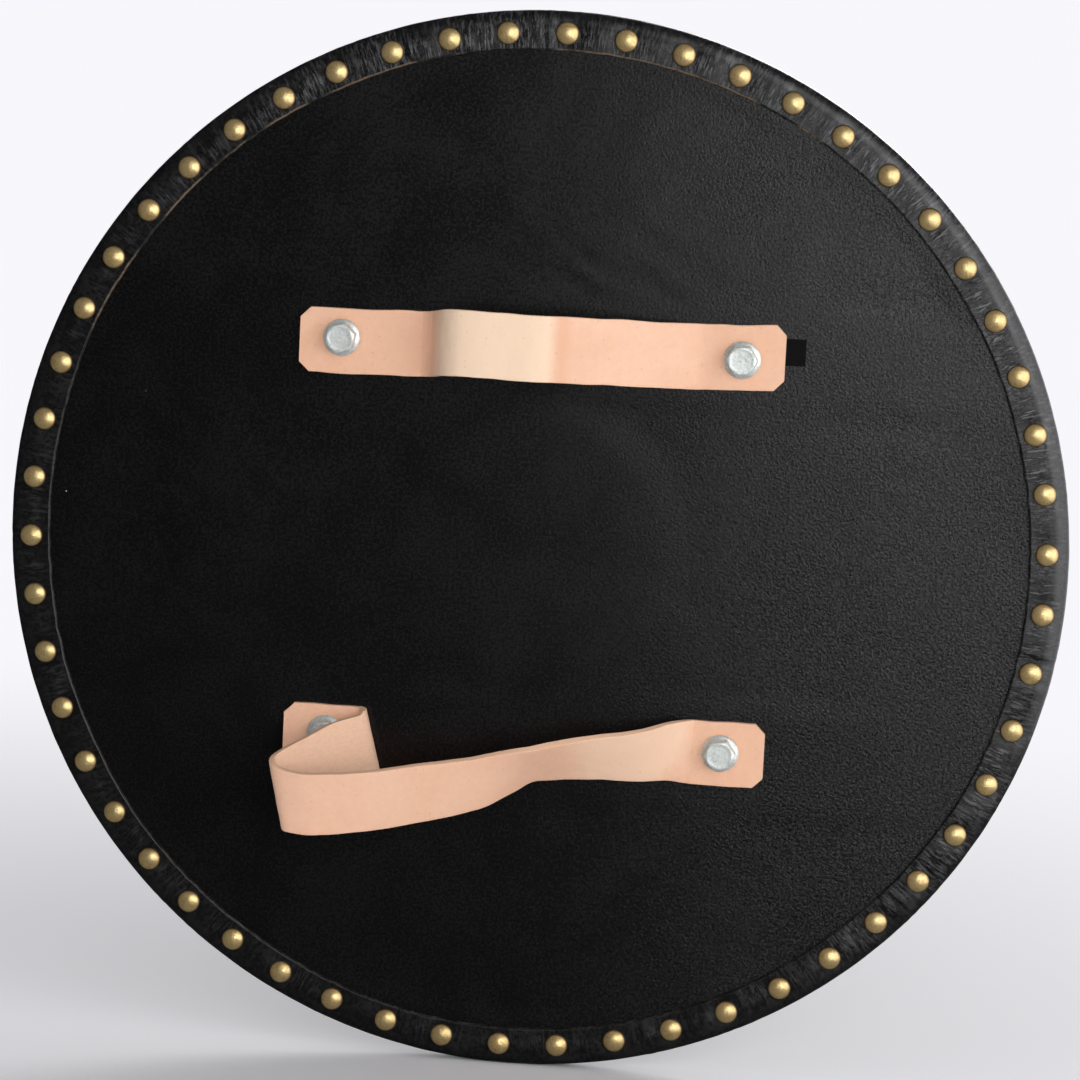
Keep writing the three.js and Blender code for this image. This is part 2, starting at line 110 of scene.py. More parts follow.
def field_noise(across: np.ndarray, up: np.ndarray, seed: int, length: float, waves: int = 24) -> np.ndarray:
    """Noise over a plane: cosine waves in random directions, about one length (mm) from crest to crest.

    Args:
        across: first coordinate in mm.
        up: second coordinate in mm.
        seed: what the directions and phases are drawn from.
        length: the middle wavelength in mm.
        waves: how many waves are added.

    Returns:
        The noise, scaled to a root mean square of one.
    """
    dice = np.random.default_rng(seed)
    heading = dice.uniform(0, 2 * np.pi, waves)
    number = 2 * np.pi / (length * dice.uniform(0.6, 1.8, waves))
    phase = dice.uniform(0, 2 * np.pi, waves)
    turn = across[..., None] * np.cos(heading) * number + up[..., None] * np.sin(heading) * number
    return np.cos(turn + phase).sum(-1) / math.sqrt(waves / 2)


def grid_faces(rows: int, columns: int, wrap_rows: bool = False, wrap_columns: bool = True) -> np.ndarray:
    """The quads of a grid of rows x columns points, numbered row by row, closed where it wraps.

    Args:
        rows: how many rows of points there are.
        columns: how many points a row has.
        wrap_rows: whether the last row joins the first.
        wrap_columns: whether the last column joins the first.

    Returns:
        The corners of each quad.
    """
    row = np.arange(rows if wrap_rows else rows - 1)[:, None]
    column = np.arange(columns if wrap_columns else columns - 1)[None, :]
    next_row, next_column = (row + 1) % rows, (column + 1) % columns
    corners = [row * columns + column, next_row * columns + column,
               next_row * columns + next_column, row * columns + next_column]
    return np.stack(np.broadcast_arrays(*corners), -1).reshape(-1, 4)


def fan_faces(first: int, columns: int, pole: int, forward: bool) -> np.ndarray:
    """The triangles from a ring of points, numbered from first, to its pole.

    Args:
        first: the number of the ring's first point.
        columns: how many points the ring has.
        pole: the number of the pole.
        forward: whether the corners run with the ring.

    Returns:
        The corners of each triangle.
    """
    here = first + np.arange(columns)
    there = first + (np.arange(columns) + 1) % columns
    pair = (here, there) if forward else (there, here)
    return np.stack([pair[0], pair[1], np.full(columns, pole)], -1)


def six_volumes(points: np.ndarray, faces: list) -> float:
    """Six times the signed volume inside faces: the sum of a . (b x c) over fans of each face.

    Args:
        points: the surface's points.
        faces: arrays of point numbers.

    Returns:
        The volume, negative where the faces point inwards.
    """
    total = 0.0
    for block in faces:
        corner = points[block]
        for k in range(1, block.shape[1] - 1):
            total += float(np.einsum("ij,ij->", corner[:, 0], np.cross(corner[:, k], corner[:, k + 1])))
    return total


def add_object(name: str, data: bpy.types.ID) -> bpy.types.Object:
    """A new object in the scene.

    Args:
        name: its name.
        data: its mesh, light or camera.

    Returns:
        The object.
    """
    thing = bpy.data.objects.new(name, data)
    bpy.context.scene.collection.objects.link(thing)
    return thing


def make_piece(name: str, points: np.ndarray, faces: list, material: bpy.types.Material,
               stands_for: tuple = (), numbers: dict = None, uv: np.ndarray = None,
               sharp: float = 40.0) -> bpy.types.Object:
    """Puts a closed surface into the scene as a piece that rides on the targe.

    Args:
        name: the piece's name.
        points: its points in mm, one a row.
        faces: arrays of point numbers, one array for quads and one for triangles.
        material: what it is made of.
        stands_for: the CAD nodes that it replaces.
        numbers: named numbers for each point, which the material reads.
        uv: a flat position for each point in mm, for patterns that follow the surface.
        sharp: edges that bend more than this many degrees stay crisp.

    Returns:
        The new object.
    """
    if six_volumes(points, faces) < 0:
        faces = [block[:, ::-1] for block in faces]
    mesh = bpy.data.meshes.new(name)
    mesh.from_pydata((points * MM).tolist(), [], [face for block in faces for face in block.tolist()])
    for key, values in (numbers or {}).items():
        layer = mesh.attributes.new(key, "FLOAT", "POINT")
        layer.data.foreach_set("value", np.ascontiguousarray(values, dtype=np.float32).ravel())
    if uv is not None:
        corner = np.zeros(len(mesh.loops), dtype=np.int32)
        mesh.loops.foreach_get("vertex_index", corner)
        layer = mesh.uv_layers.new(name="flat")
        layer.data.foreach_set("uv", uv[corner].astype(np.float32).ravel())
    mesh.shade_smooth()
    mesh.set_sharp_from_angle(angle=math.radians(sharp))
    mesh.materials.append(material)
    piece = add_object(name, mesh)
    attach(piece, "root")
    if stands_for:
        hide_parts(*stands_for)
    return piece


def lathe(radius: np.ndarray, along: np.ndarray, angle: np.ndarray) -> tuple:
    """Turns a profile about +Y into a closed shape, its first and last rows drawn to one point.

    A point is (radius sin angle, along, radius cos angle). The first and last rows are poles.

    Args:
        radius: rows x columns of distances from the axis, in mm.
        along: rows x columns of places along Y, in mm.
        angle: the angle of each column, in radians.

    Returns:
        The points and the list of their faces.
    """
    rows, columns = radius.shape[0] - 2, angle.size
    body = np.stack([radius[1:-1] * np.sin(angle), along[1:-1] + 0 * angle, radius[1:-1] * np.cos(angle)], -1)
    poles = np.array([[0, along[0].mean(), 0], [0, along[-1].mean(), 0]])
    points = np.concatenate([body.reshape(-1, 3), poles])
    faces = [grid_faces(rows, columns), fan_faces(0, columns, rows * columns, True),
             fan_faces((rows - 1) * columns, columns, rows * columns + 1, False)]
    return points, [faces[0], np.concatenate(faces[1:])]


def many_domes(places: np.ndarray, radius: float, dome: float, seat: float, side: Side, sides: int,
               rings: int, sink: float, turns: np.ndarray) -> tuple:
    """Copies of one nail head: a flattened dome with a rolled rim, closed flat under its seat.

    Height over the seat is dome (1 - s^2)^0.62 at share s of the radius.

    Args:
        places: x and z of each nail, in mm.
        radius: the head's radius.
        dome: its height.
        seat: the plane that it stands on, along Y.
        side: the side of the disc that it is on.
        sides: points round the head.
        rings: rows up the dome.
        sink: how far its rim bites into the leather.
        turns: a small random lean (x, z) for each nail.

    Returns:
        The points, their faces, and how far up its dome each point is, from 0 to 1.
    """
    angle = circle(sides)
    share = np.sin(np.linspace(0, np.pi / 2, rings + 1))[1:]
    height = dome * (1 - share ** 2) ** 0.62
    x = np.concatenate([[0], np.outer(share, np.sin(angle)).ravel(), np.sin(angle) * 0.96]) * radius
    z = np.concatenate([[0], np.outer(share, np.cos(angle)).ravel(), np.cos(angle) * 0.96]) * radius
    y = np.concatenate([[dome], np.repeat(height, sides), np.full(sides, -sink)])
    count, size = len(places), x.size
    lean = turns[:, 0, None] * x + turns[:, 1, None] * z
    points = np.stack([places[:, 0, None] + x, seat + side.value * (y + np.where(y > -sink, lean, 0)),
                       places[:, 1, None] + z], -1)
    quads = grid_faces(rings + 1, sides) + 1
    fan = fan_faces(1, sides, 0, True)
    last_ring = 1 + rings * sides
    floor = np.stack([np.full(sides - 2, last_ring), last_ring + np.arange(1, sides - 1),
                      last_ring + np.arange(2, sides)], -1)
    step = (np.arange(count) * size)[:, None, None]
    if side is Side.BACK:
        quads, fan, floor = quads[:, ::-1], fan[:, ::-1], floor[:, ::-1]
    faces = [(quads + step).reshape(-1, 4), (np.concatenate([fan, floor]) + step).reshape(-1, 3)]
    rise = np.tile(np.clip(y / dome, 0, 1), count)
    return points.reshape(-1, 3), faces, rise


# Materials


class Value:
    """A shader value to reckon with: each step of arithmetic becomes a Math node of its tree."""

    def __init__(self, tree: "Tree", socket: bpy.types.NodeSocket):
        """Keeps the tree and the socket that gives the value."""
        self.tree = tree
        self.socket = socket

    def step(self, operation: str, other: "Value | float" = 0.0, clamp: bool = False) -> "Value":
        """One step of arithmetic with another value, held between 0 and 1 where clamp is set."""
        return self.tree.get("Math", 0, {0: self, 1: other}, operation=operation, use_clamp=clamp)

    def __add__(self, other: "Value | float") -> "Value":
        """The sum."""
        return self.step("ADD", other)

    def __sub__(self, other: "Value | float") -> "Value":
        """The difference."""
        return self.step("SUBTRACT", other)

    def __mul__(self, other: "Value | float") -> "Value":
        """The product."""
        return self.step("MULTIPLY", other)

    def __abs__(self) -> "Value":
        """The value without its sign."""
        return self.step("ABSOLUTE")

    def most(self, other: "Value | float", clamp: bool = False) -> "Value":
        """The larger of two values."""
        return self.step("MAXIMUM", other, clamp)

    def span(self, low: float, high: float, to_low: float = 0.0, to_high: float = 1.0,
             smooth: bool = True) -> "Value":
        """The value mapped from one range to another and held inside it.

        Args:
            low: where the first range begins.
            high: where it ends.
            to_low: what low becomes.
            to_high: what high becomes.
            smooth: whether the ends are eased.

        Returns:
            The mapped value.
        """
        kind = "SMOOTHSTEP" if smooth else "LINEAR"
        inputs = {"Value": self, "From Min": low, "From Max": high, "To Min": to_low, "To Max": to_high}
        return self.tree.get("MapRange", 0, inputs, interpolation_type=kind)


class Tree:
    """A short way to place and join the nodes of a material or of a node group."""

    def __init__(self, tree: bpy.types.NodeTree):
        """Keeps the tree that the nodes go into."""
        self.tree = tree

    def put(self, kind: str, inputs: dict = None, **settings) -> bpy.types.Node:
        """Adds a node.

        Args:
            kind: its type without the leading ShaderNode.
            inputs: numbers or values for its inputs, by name or number.
            settings: its properties.

        Returns:
            The node.
        """
        node = self.tree.nodes.new("ShaderNode" + kind)
        for key, value in settings.items():
            setattr(node, key, value)
        for key, value in (inputs or {}).items():
            self.feed(node.inputs[key], value)
        return node

    def feed(self, socket: bpy.types.NodeSocket, value: "Value | float | tuple") -> None:
        """Links a socket to a value, or sets it to a number or a colour.

        Args:
            socket: the input to fill.
            value: what goes in.
        """
        if isinstance(value, Value):
            self.tree.links.new(value.socket, socket)
        else:
            socket.default_value = value

    def get(self, kind: str, output: "str | int", inputs: dict = None, **settings) -> Value:
        """Adds a node and gives one of its outputs, by name or number."""
        return Value(self, self.put(kind, inputs, **settings).outputs[output])

    def effect(self, name: str, where: Value, **numbers) -> list:
        """The outputs of a shared effect, laid on a place."""
        node = self.put("Group", {"Vector": where, **numbers}, node_tree=bpy.data.node_groups[name])
        return [Value(self, output) for output in node.outputs]

    def mottle(self, where: Value, clouds: float, flecks: float, balance: float) -> Value:
        """Uneven colour from 0 to 1, its clouds and flecks given as a number in a metre."""
        return self.effect("mottle", where, Clouds=clouds, Flecks=flecks, Balance=balance)[0]

    def dust(self, where: Value, spacing: float, size: float, share: float) -> Value:
        """Stray specks, one in a share of the cells that spacing makes in a metre."""
        return self.effect("dust", where, Spacing=spacing, Size=size, Share=share)[0]

    def noise(self, vector: Value, scale: "Value | float", detail: float = 2.0, roughness: float = 0.5,
              distortion: float = 0.0) -> Value:
        """Cloudy noise from 0 to 1."""
        return self.get("TexNoise", 0, {"Vector": vector, "Scale": scale, "Detail": detail,
                                        "Roughness": roughness, "Distortion": distortion})

    def seams(self, vector: Value, scale: "Value | float") -> Value:
        """The distance to the nearest seam between Voronoi cells."""
        return self.get("TexVoronoi", 0, {"Vector": vector, "Scale": scale}, feature="DISTANCE_TO_EDGE")

    def vector(self, operation: str, inputs: dict, output: "str | int" = 0) -> Value:
        """One step of vector arithmetic."""
        return self.get("VectorMath", output, inputs, operation=operation)

    def parts(self, vector: Value) -> list:
        """The X, Y and Z of a vector."""
        return [Value(self, output) for output in self.put("SeparateXYZ", {0: vector}).outputs]

    def about_axis(self, where: Value) -> tuple:
        """Where a place lies about the disc's axis.

        Args:
            where: the place.

        Returns:
            Its distance from the Y axis, and the place with its Y left out.
        """
        x, _, z = self.parts(where)
        flat = self.get("CombineXYZ", 0, {0: x, 2: z})
        return self.vector("LENGTH", {0: flat}, "Value"), flat

    def blend(self, share: Value, first: "Value | tuple", second: "Value | tuple") -> Value:
        """A colour between first and second."""
        return self.get("Mix", 2, {0: share, 6: first, 7: second}, data_type="RGBA", clamp_factor=True)

    def between(self, share: Value, first: Value, second: Value) -> Value:
        """A number between first and second."""
        return self.get("Mix", 0, {0: share, 2: first, 3: second}, data_type="FLOAT")

    def number(self, name: str) -> Value:
        """A named number of the mesh."""
        return self.get("Attribute", "Fac", attribute_name=name)

    def sheet(self) -> Value:
        """The flat place on a sheet, in millimetres."""
        return self.get("UVMap", 0, uv_map="flat")

    def relief(self, height: Value, depth: float) -> Value:
        """The normal of a surface with a height, depth in metres."""
        return self.get("Bump", 0, {"Height": height, "Distance": depth})

    def seen(self) -> Value:
        """Whether the camera or a glossy surface looks.

        Returns:
            One where it does, nought for other light.
        """
        path = self.put("LightPath")
        looks = [Value(self, path.outputs[key]) for key in ("Is Camera Ray", "Is Glossy Ray")]
        return looks[0].most(looks[1])


def share_effect(name: str, takes: tuple, gives: tuple, fill: Callable) -> None:
    """Builds a node group that several finishes share.

    Args:
        name: the group's name.
        takes: the names of its inputs, a Vector and then numbers.
        gives: the names of its outputs, all numbers.
        fill: takes the group's Tree and one value for each input, and returns one for each output.
    """
    group = bpy.data.node_groups.new(name, "ShaderNodeTree")
    for key in takes:
        kind = "NodeSocketVector" if key == "Vector" else "NodeSocketFloat"
        group.interface.new_socket(name=key, in_out="INPUT", socket_type=kind)
    for key in gives:
        group.interface.new_socket(name=key, in_out="OUTPUT", socket_type="NodeSocketFloat")
    tree = Tree(group)
    begin, end = group.nodes.new("NodeGroupInput"), group.nodes.new("NodeGroupOutput")
    made = fill(tree, *(Value(tree, begin.outputs[key]) for key in takes))
    for key, value in zip(gives, made):
        tree.feed(end.inputs[key], value)


def leather_grain(tree: Tree, where: Value, cells: Value, wrinkles: Value) -> tuple:
    """Leather grain: rounded cells parted by creases, pores in them, and long soft wrinkles.

    Args:
        tree: the group's tree.
        where: the place on the leather.
        cells: how many cells there are in a metre.
        wrinkles: how high the wrinkles stand.

    Returns:
        The height and the mask of the pores.
    """
    warp = tree.get("TexNoise", 1, {"Vector": where, "Scale": cells * 0.4, "Detail": 2.0})
    moved = tree.vector("ADD", {0: where, 1: tree.vector("SCALE", {0: warp, "Scale": 0.0011})})
    pebble = tree.seams(moved, cells).span(0.0, 0.22)
    pores = tree.get("TexVoronoi", 0, {"Vector": where, "Scale": cells * 0.62}).span(0.05, 0.2, 1.0, 0.0)
    fold = tree.noise(where, cells * 0.05, 4.0, 0.62, 0.8)
    wrinkle = abs(fold - 0.5).span(0.0, 0.09) * wrinkles
    return pebble * 0.5 + wrinkle - pores * 0.4, pores


def mottle(tree: Tree, where: Value, clouds: Value, flecks: Value, balance: Value) -> tuple:
    """Uneven colour: large clouds and small flecks mixed into one number from 0 to 1.

    Args:
        tree: the group's tree.
        where: the place on the piece.
        clouds: how many clouds there are in a metre.
        flecks: how many flecks there are in a metre.
        balance: the flecks' share.

    Returns:
        The mixed number.
    """
    large = tree.noise(where, clouds, 5.0, 0.6, 0.4).span(0.3, 0.7)
    small = tree.noise(where, flecks, 3.0, 0.6).span(0.34, 0.66)
    return (tree.between(balance, large, small),)


def dust(tree: Tree, where: Value, spacing: Value, size: Value, share: Value) -> tuple:
    """Stray specks: one small spot in a few cells of a Voronoi pattern.

    Args:
        tree: the group's tree.
        where: the place on the piece.
        spacing: how many cells there are in a metre.
        size: a speck's radius in cells.
        share: the share of cells that have one.

    Returns:
        The mask of the specks.
    """
    cell = tree.put("TexVoronoi", {"Vector": where, "Scale": spacing})
    pick = tree.get("SeparateColor", 0, {0: Value(tree, cell.outputs["Color"])})
    near = Value(tree, cell.outputs["Distance"]).step("LESS_THAN", size)
    return (pick.step("LESS_THAN", share) * near,)


def weave(tree: Tree, flat: Value, threads: Value) -> tuple:
    """A plain weave: warp and weft threads that pass over and under.

    Args:
        tree: the group's tree.
        flat: the place on the tape, in millimetres.
        threads: how many threads there are in a millimetre.

    Returns:
        The height of the upper thread and the mask of the gaps.
    """
    turn = threads * math.pi
    across, along, _ = tree.parts(flat)
    warp, weft = (across * turn).step("SINE"), (along * turn).step("SINE")
    top = tree.between((warp * weft).span(-0.4, 0.4), abs(warp), abs(weft))
    return top, top.span(0.1, 0.5, 1.0, 0.0)


def scratches(tree: Tree, where: Value, fine: Value, turn: Value) -> tuple:
    """Handling marks: fine lines in two directions from stretched noise.

    Args:
        tree: the group's tree.
        where: the place on the piece.
        fine: how many lines there are in a metre.
        turn: how far they are turned, in radians.

    Returns:
        The mask of the lines.
    """
    marks = []
    for more, stretch in ((0.0, (0.06, 1.0, 1.0)), (1.1, (1.0, 1.0, 0.05))):
        angle = tree.get("CombineXYZ", 0, {1: turn + more})
        spun = tree.get("Mapping", 0, {"Vector": where, "Rotation": angle, "Scale": stretch})
        marks.append(tree.noise(spun, fine, 2.0, 0.4).span(0.62, 0.72))
    return (marks[0].most(marks[1]),)


def share_effects() -> None:
    """Builds every effect that several finishes share."""
    share_effect("leather_grain", ("Vector", "Cells", "Wrinkles"), ("Height", "Pores"), leather_grain)
    share_effect("mottle", ("Vector", "Clouds", "Flecks", "Balance"), ("Amount",), mottle)
    share_effect("dust", ("Vector", "Spacing", "Size", "Share"), ("Mask",), dust)
    share_effect("weave", ("Vector", "Threads"), ("Height", "Gaps"), weave)
    share_effect("scratches", ("Vector", "Fine", "Turn"), ("Mask",), scratches)


def new_material(name: str) -> tuple:
    """A material with its Principled shader.

    Args:
        name: the material's name.

    Returns:
        The material, a Tree for its nodes and the shader.
    """
    material = bpy.data.materials.new(name)
    material.use_nodes = True
    return material, Tree(material.node_tree), material.node_tree.nodes["Principled BSDF"]


@dataclass(frozen=True)
class Finish:
    """What every finish has: a name, and a way to paint that fills its shader.

    In all of them the colours are linear, a pattern's scale is a number in a metre and a depth is in
    metres.
    """

    name: str

    def paint(self, tree: Tree, where: Value) -> dict:
        """What goes into the shader.

        Args:
            tree: the material's tree.
            where: the place on the piece, in metres.

        Returns:
            A value, number or colour for each of the shader's inputs that the finish sets.
        """
        raise NotImplementedError

    def make(self) -> bpy.types.Material:
        """Builds the material.

        Returns:
            The material.
        """
        material, tree, shader = new_material(self.name)
        for key, value in self.paint(tree, tree.get("TexCoord", "Object")).items():
            tree.feed(shader.inputs[key], value)
        return material


@dataclass(frozen=True)
class BlackLeather(Finish):
    """Dyed leather of the facing, drawn over the board: satin, puckered round the rim."""

    name: str = "black_leather"
    base: tuple = (0.0052, 0.0052, 0.0056, 1)
    # Pale grey for real wear and for the painted highlight on the hem's streaks.
    wear_and_highlight: tuple = (0.11, 0.11, 0.115, 1)
    raw: tuple = (0.125, 0.082, 0.048, 1)
    specks: tuple = (0.25, 0.24, 0.23, 1)
    cells: float = 700.0
    streaks: float = 840.0
    ray_slope: float = 0.16
    patches: float = 30.0
    bend: tuple = (0.241, 0.251)
    cracks: float = 330.0
    rings: tuple = (0.960, 0.825, 0.590, 0.345)
    twin_gap: float = 0.0016
    front_calm: float = 0.55
    roughness: float = 0.27
    coat_roughness: float = 0.28
    gloss: float = 0.45
    depth: float = 0.0003

    def puckers(self, tree: Tree, where: Value) -> Value:
        """Radial streaks on the hem: noise on a ring, in patches, weaker past the bend and at lower left,
        away from the light; they raise bumps and also carry a painted highlight.

        Args:
            tree: the material's tree.
            where: the place on the leather.

        Returns:
            How strong the streaks are.
        """
        radius, flat = tree.about_axis(where)
        x, y, z = tree.parts(where)
        heading = tree.vector("NORMALIZE", {0: flat})
        ringed = tree.vector("SCALE", {0: heading, "Scale": DISC_RADIUS * MM})
        slope = tree.get("CombineXYZ", 0, {1: (radius + y) * self.ray_slope})
        rays = tree.vector("ADD", {0: ringed, 1: slope})
        streak = tree.noise(rays, self.streaks, 3.0, 0.65, 0.3).span(0.48, 0.63)
        patches = tree.noise(where, self.patches).span(0.38, 0.6, 0.4, 1.0)
        patches = patches * radius.span(*self.bend, 1.0, 0.4)
        gathered_and_lit = (x + z).span(-0.12, 0.16, 0.2, 1.0)
        return streak * tree.number("hem") * (patches * gathered_and_lit)

    def tooled(self, tree: Tree, where: Value) -> Value:
        """Twin lines tooled round the front at each ring.

        Args:
            tree: the material's tree.
            where: the place on the leather.

        Returns:
            The mask of the lines.
        """
        radius, _ = tree.about_axis(where)
        lines = []
        for share in self.rings:
            away = abs(radius - share * DISC_RADIUS * MM)
            lines.append(abs(away - self.twin_gap).span(0.0002, 0.0008, 1.0, 0.0))
        return reduce(Value.most, lines) * tree.number("front")

    def paint(self, tree: Tree, where: Value) -> dict:
        """Grain, radial puckers on the hem and rim with a painted highlight on their streaks, tooled rings in
        front, and the raw cut edge.

        Args:
            tree: the material's tree.
            where: the place on the leather.

        Returns:
            The shader's inputs.
        """
        grain, pores = tree.effect("leather_grain", where, Cells=self.cells, Wrinkles=0.35)
        puckers = self.puckers(tree, where)
        cracks = tree.seams(where, self.cracks).span(0.0, 0.08, 1.0, 0.0) * tree.number("rim")
        height = grain * 0.05 + puckers * 0.9 - cracks * 0.12 - self.tooled(tree, where) * 2.0
        calm = tree.number("front").span(0.0, 1.0, 1.0, self.front_calm)
        mottled = tree.mottle(where, 60.0, 500.0, 0.5) * calm
        # Painted highlight: the hem's streaks are lightened, most towards the upper right where the light
        # falls, on top of a little real wear in clouds.
        wear_and_highlight = (mottled.span(0.45, 0.9) * 0.05).most(puckers * 0.9, clamp=True)
        colour = tree.blend(wear_and_highlight, self.base, self.wear_and_highlight)
        cut = tree.number("cut")
        colour = tree.blend((cut + mottled * 0.8).span(1.0, 1.6), colour, self.raw)
        rough = mottled.span(0.1, 0.9, self.roughness - 0.06, self.roughness + 0.12)
        rough = rough.step("ADD", cut * 0.4, clamp=True) + pores * 0.08
        return {"Base Color": tree.blend(tree.dust(where, 105.0, 0.028, 0.1), colour, self.specks),
                "Roughness": rough, "Specular IOR Level": self.gloss,
                "Coat Weight": tree.number("rim").span(0.2, 0.6), "Coat Roughness": self.coat_roughness,
                "Normal": tree.relief(height, self.depth)}


@dataclass(frozen=True)
class LiningLeather(Finish):
    """Thin lining: fine even grain that stands higher to the right, with painted glints on it there, a faint
    cloudiness and a little dust.
    """

    name: str = "lining_leather"
    base: tuple = (0.0024, 0.0024, 0.0027, 1)
    light: tuple = (0.0042, 0.0041, 0.0045, 1)
    # Pale colour of the painted glints on the grain's right side.
    glint_colour: tuple = (0.032, 0.032, 0.033, 1)
    specks: tuple = (0.42, 0.4, 0.38, 1)
    cells: float = 520.0
    pebbles: float = 760.0
    pebble_height: float = 0.68
    roughness: float = 0.24
    gloss: float = 0.42
    depth: float = 0.00007

    def paint(self, tree: Tree, where: Value) -> dict:
        """Fine grain, pale painted glints on it towards the right and a faint cloudiness.

        Args:
            tree: the material's tree.
            where: the place on the lining.

        Returns:
            The shader's inputs.
        """
        grain, _ = tree.effect("leather_grain", where, Cells=self.cells, Wrinkles=0.22)
        swells = tree.noise(where, self.pebbles, 4.0, 0.62) * self.pebble_height
        across = tree.parts(where)[0]
        supple = across.span(-0.08, 0.22, 0.22, 4.4) * tree.noise(where, 14.0).span(0.35, 0.65, 0.75, 1.2)
        mottled = tree.mottle(where, 18.0, 700.0, 0.65)
        colour = tree.blend(mottled, self.base, self.light)
        # Painted glints: pale flecks on the grain, only towards the right where the light falls.
        flecks = tree.noise(where, self.pebbles, 3.0, 0.65).span(0.45, 0.68) * across.span(-0.02, 0.22)
        colour = tree.blend(flecks, colour, self.glint_colour)
        return {"Base Color": tree.blend(tree.dust(where, 52.0, 0.018, 0.16), colour, self.specks),
                "Roughness": mottled.span(0.0, 1.0, self.roughness - 0.05, self.roughness + 0.08),
                "Specular IOR Level": self.gloss,
                "Normal": tree.relief((grain * 0.3 + swells) * supple, self.depth)}


@dataclass(frozen=True)
class StrapLeather(Finish):
    """Undyed vegetable-tanned leather: pinkish tan grain side, pale fuzzy flesh side, cut edges."""

    name: str = "strap_leather"
    pale: tuple = (0.845, 0.53, 0.37, 1)
    tan: tuple = (0.76, 0.41, 0.255, 1)
    flesh: tuple = (0.87, 0.57, 0.40, 1)
    fuzz: tuple = (0.80, 0.49, 0.33, 1)
    edge: tuple = (0.71, 0.44, 0.29, 1)
    pore: tuple = (0.36, 0.16, 0.08, 1)
    # Pale cream of stretched leather, also used as painted light over shade.
    cream_and_painted_light: tuple = (0.89, 0.66, 0.48, 1)
    cells: float = 1150.0
    fibres: float = 900.0
    gloss: float = 0.25
    depth: float = 0.00022

    def grain_side(self, tree: Tree, where: Value, mottled: Value, pores: Value) -> Value:
        """The grain side's colour: tanned in clouds, pale along the raised stretch, partly as stretched
        leather and partly as painted light over its shade, tan in its crease.

        Args:
            tree: the material's tree.
            where: the place on the strap.
            mottled: its unevenness.
            pores: the mask of the grain's pores.

        Returns:
            The colour.
        """
        tanned = mottled.span(0.0, 1.0, 0.0, 0.46, smooth=False) + tree.number("lying") * 0.2
        colour = tree.blend(tanned, self.pale, self.tan)
        # Painted light: the cream on the raised stretch also lifts the shade at the grip's rise and beside
        # the arm strap's right bolt.
        colour = tree.blend(tree.number("pale_and_painted_light"), colour, self.cream_and_painted_light)
        colour = tree.blend(tree.number("crease"), colour, self.tan)
        dark = tree.dust(where, 330.0, 0.16, 0.22).most(pores) * 0.2
        return tree.blend(dark, colour, self.pore)

    def paint(self, tree: Tree, where: Value) -> dict:
        """Pores and mottling on the grain side, fibres on the flesh side, and pale cut edges.

        Args:
            tree: the material's tree.
            where: the place on the strap.

        Returns:
            The shader's inputs.
        """
        grain, pores = tree.effect("leather_grain", where, Cells=self.cells, Wrinkles=0.2)
        mottled = tree.mottle(where, 34.0, 330.0, 0.3)
        flesh, cut = tree.number("flesh"), tree.number("cut")
        along = tree.vector("MULTIPLY", {0: tree.sheet(), 1: (MM, MM, 1)})
        stretched = tree.get("Mapping", 0, {"Vector": along, "Scale": (0.3, 1, 1)})
        fuzz = tree.noise(stretched, self.fibres, 4.0, 0.7, 1.2)
        flesh_colour = tree.blend(fuzz.span(0.35, 0.75), self.flesh, self.fuzz)
        colour = tree.blend(flesh, self.grain_side(tree, where, mottled, pores), flesh_colour)
        colour = tree.blend(cut * 0.75, colour, self.edge)
        rough = mottled.span(0.0, 1.0, 0.5, 0.62) + flesh * 0.28
        return {"Base Color": tree.blend(tree.number("pressed") * 0.6, colour, self.tan),
                "Roughness": rough.step("ADD", cut * 0.12, clamp=True), "Specular IOR Level": self.gloss,
                "Normal": tree.relief(tree.between(flesh, grain * 0.35, fuzz * 0.5), self.depth)}


@dataclass(frozen=True)
class ZincPlate(Finish):
    """Zinc on forged steel: pale grey, uneven and a little rough."""

    name: str = "zinc_steel"
    pale: tuple = (0.74, 0.78, 0.75, 1)
    dull: tuple = (0.50, 0.53, 0.51, 1)
    forging: float = 700.0
    roughness: float = 0.4
    metal: float = 0.5
    depth: float = 0.00012

    def paint(self, tree: Tree, where: Value) -> dict:
        """Forging marks, spots and fine scratches.

        Args:
            tree: the material's tree.
            where: the place on the steel.

        Returns:
            The shader's inputs.
        """
        mottled = tree.mottle(where, 190.0, 900.0, 0.45)
        marks = tree.effect("scratches", where, Fine=900.0, Turn=0.7)[0]
        colour = tree.blend(mottled.span(0.25, 1.0), self.pale, self.dull)
        height = tree.noise(where, self.forging, 4.0, 0.6) + marks * 0.2
        return {"Base Color": tree.blend(marks * 0.35, colour, self.pale),
                "Roughness": mottled.span(0.0, 1.0, self.roughness - 0.06, self.roughness + 0.16),
                "Metallic": self.metal, "Normal": tree.relief(height, self.depth)}


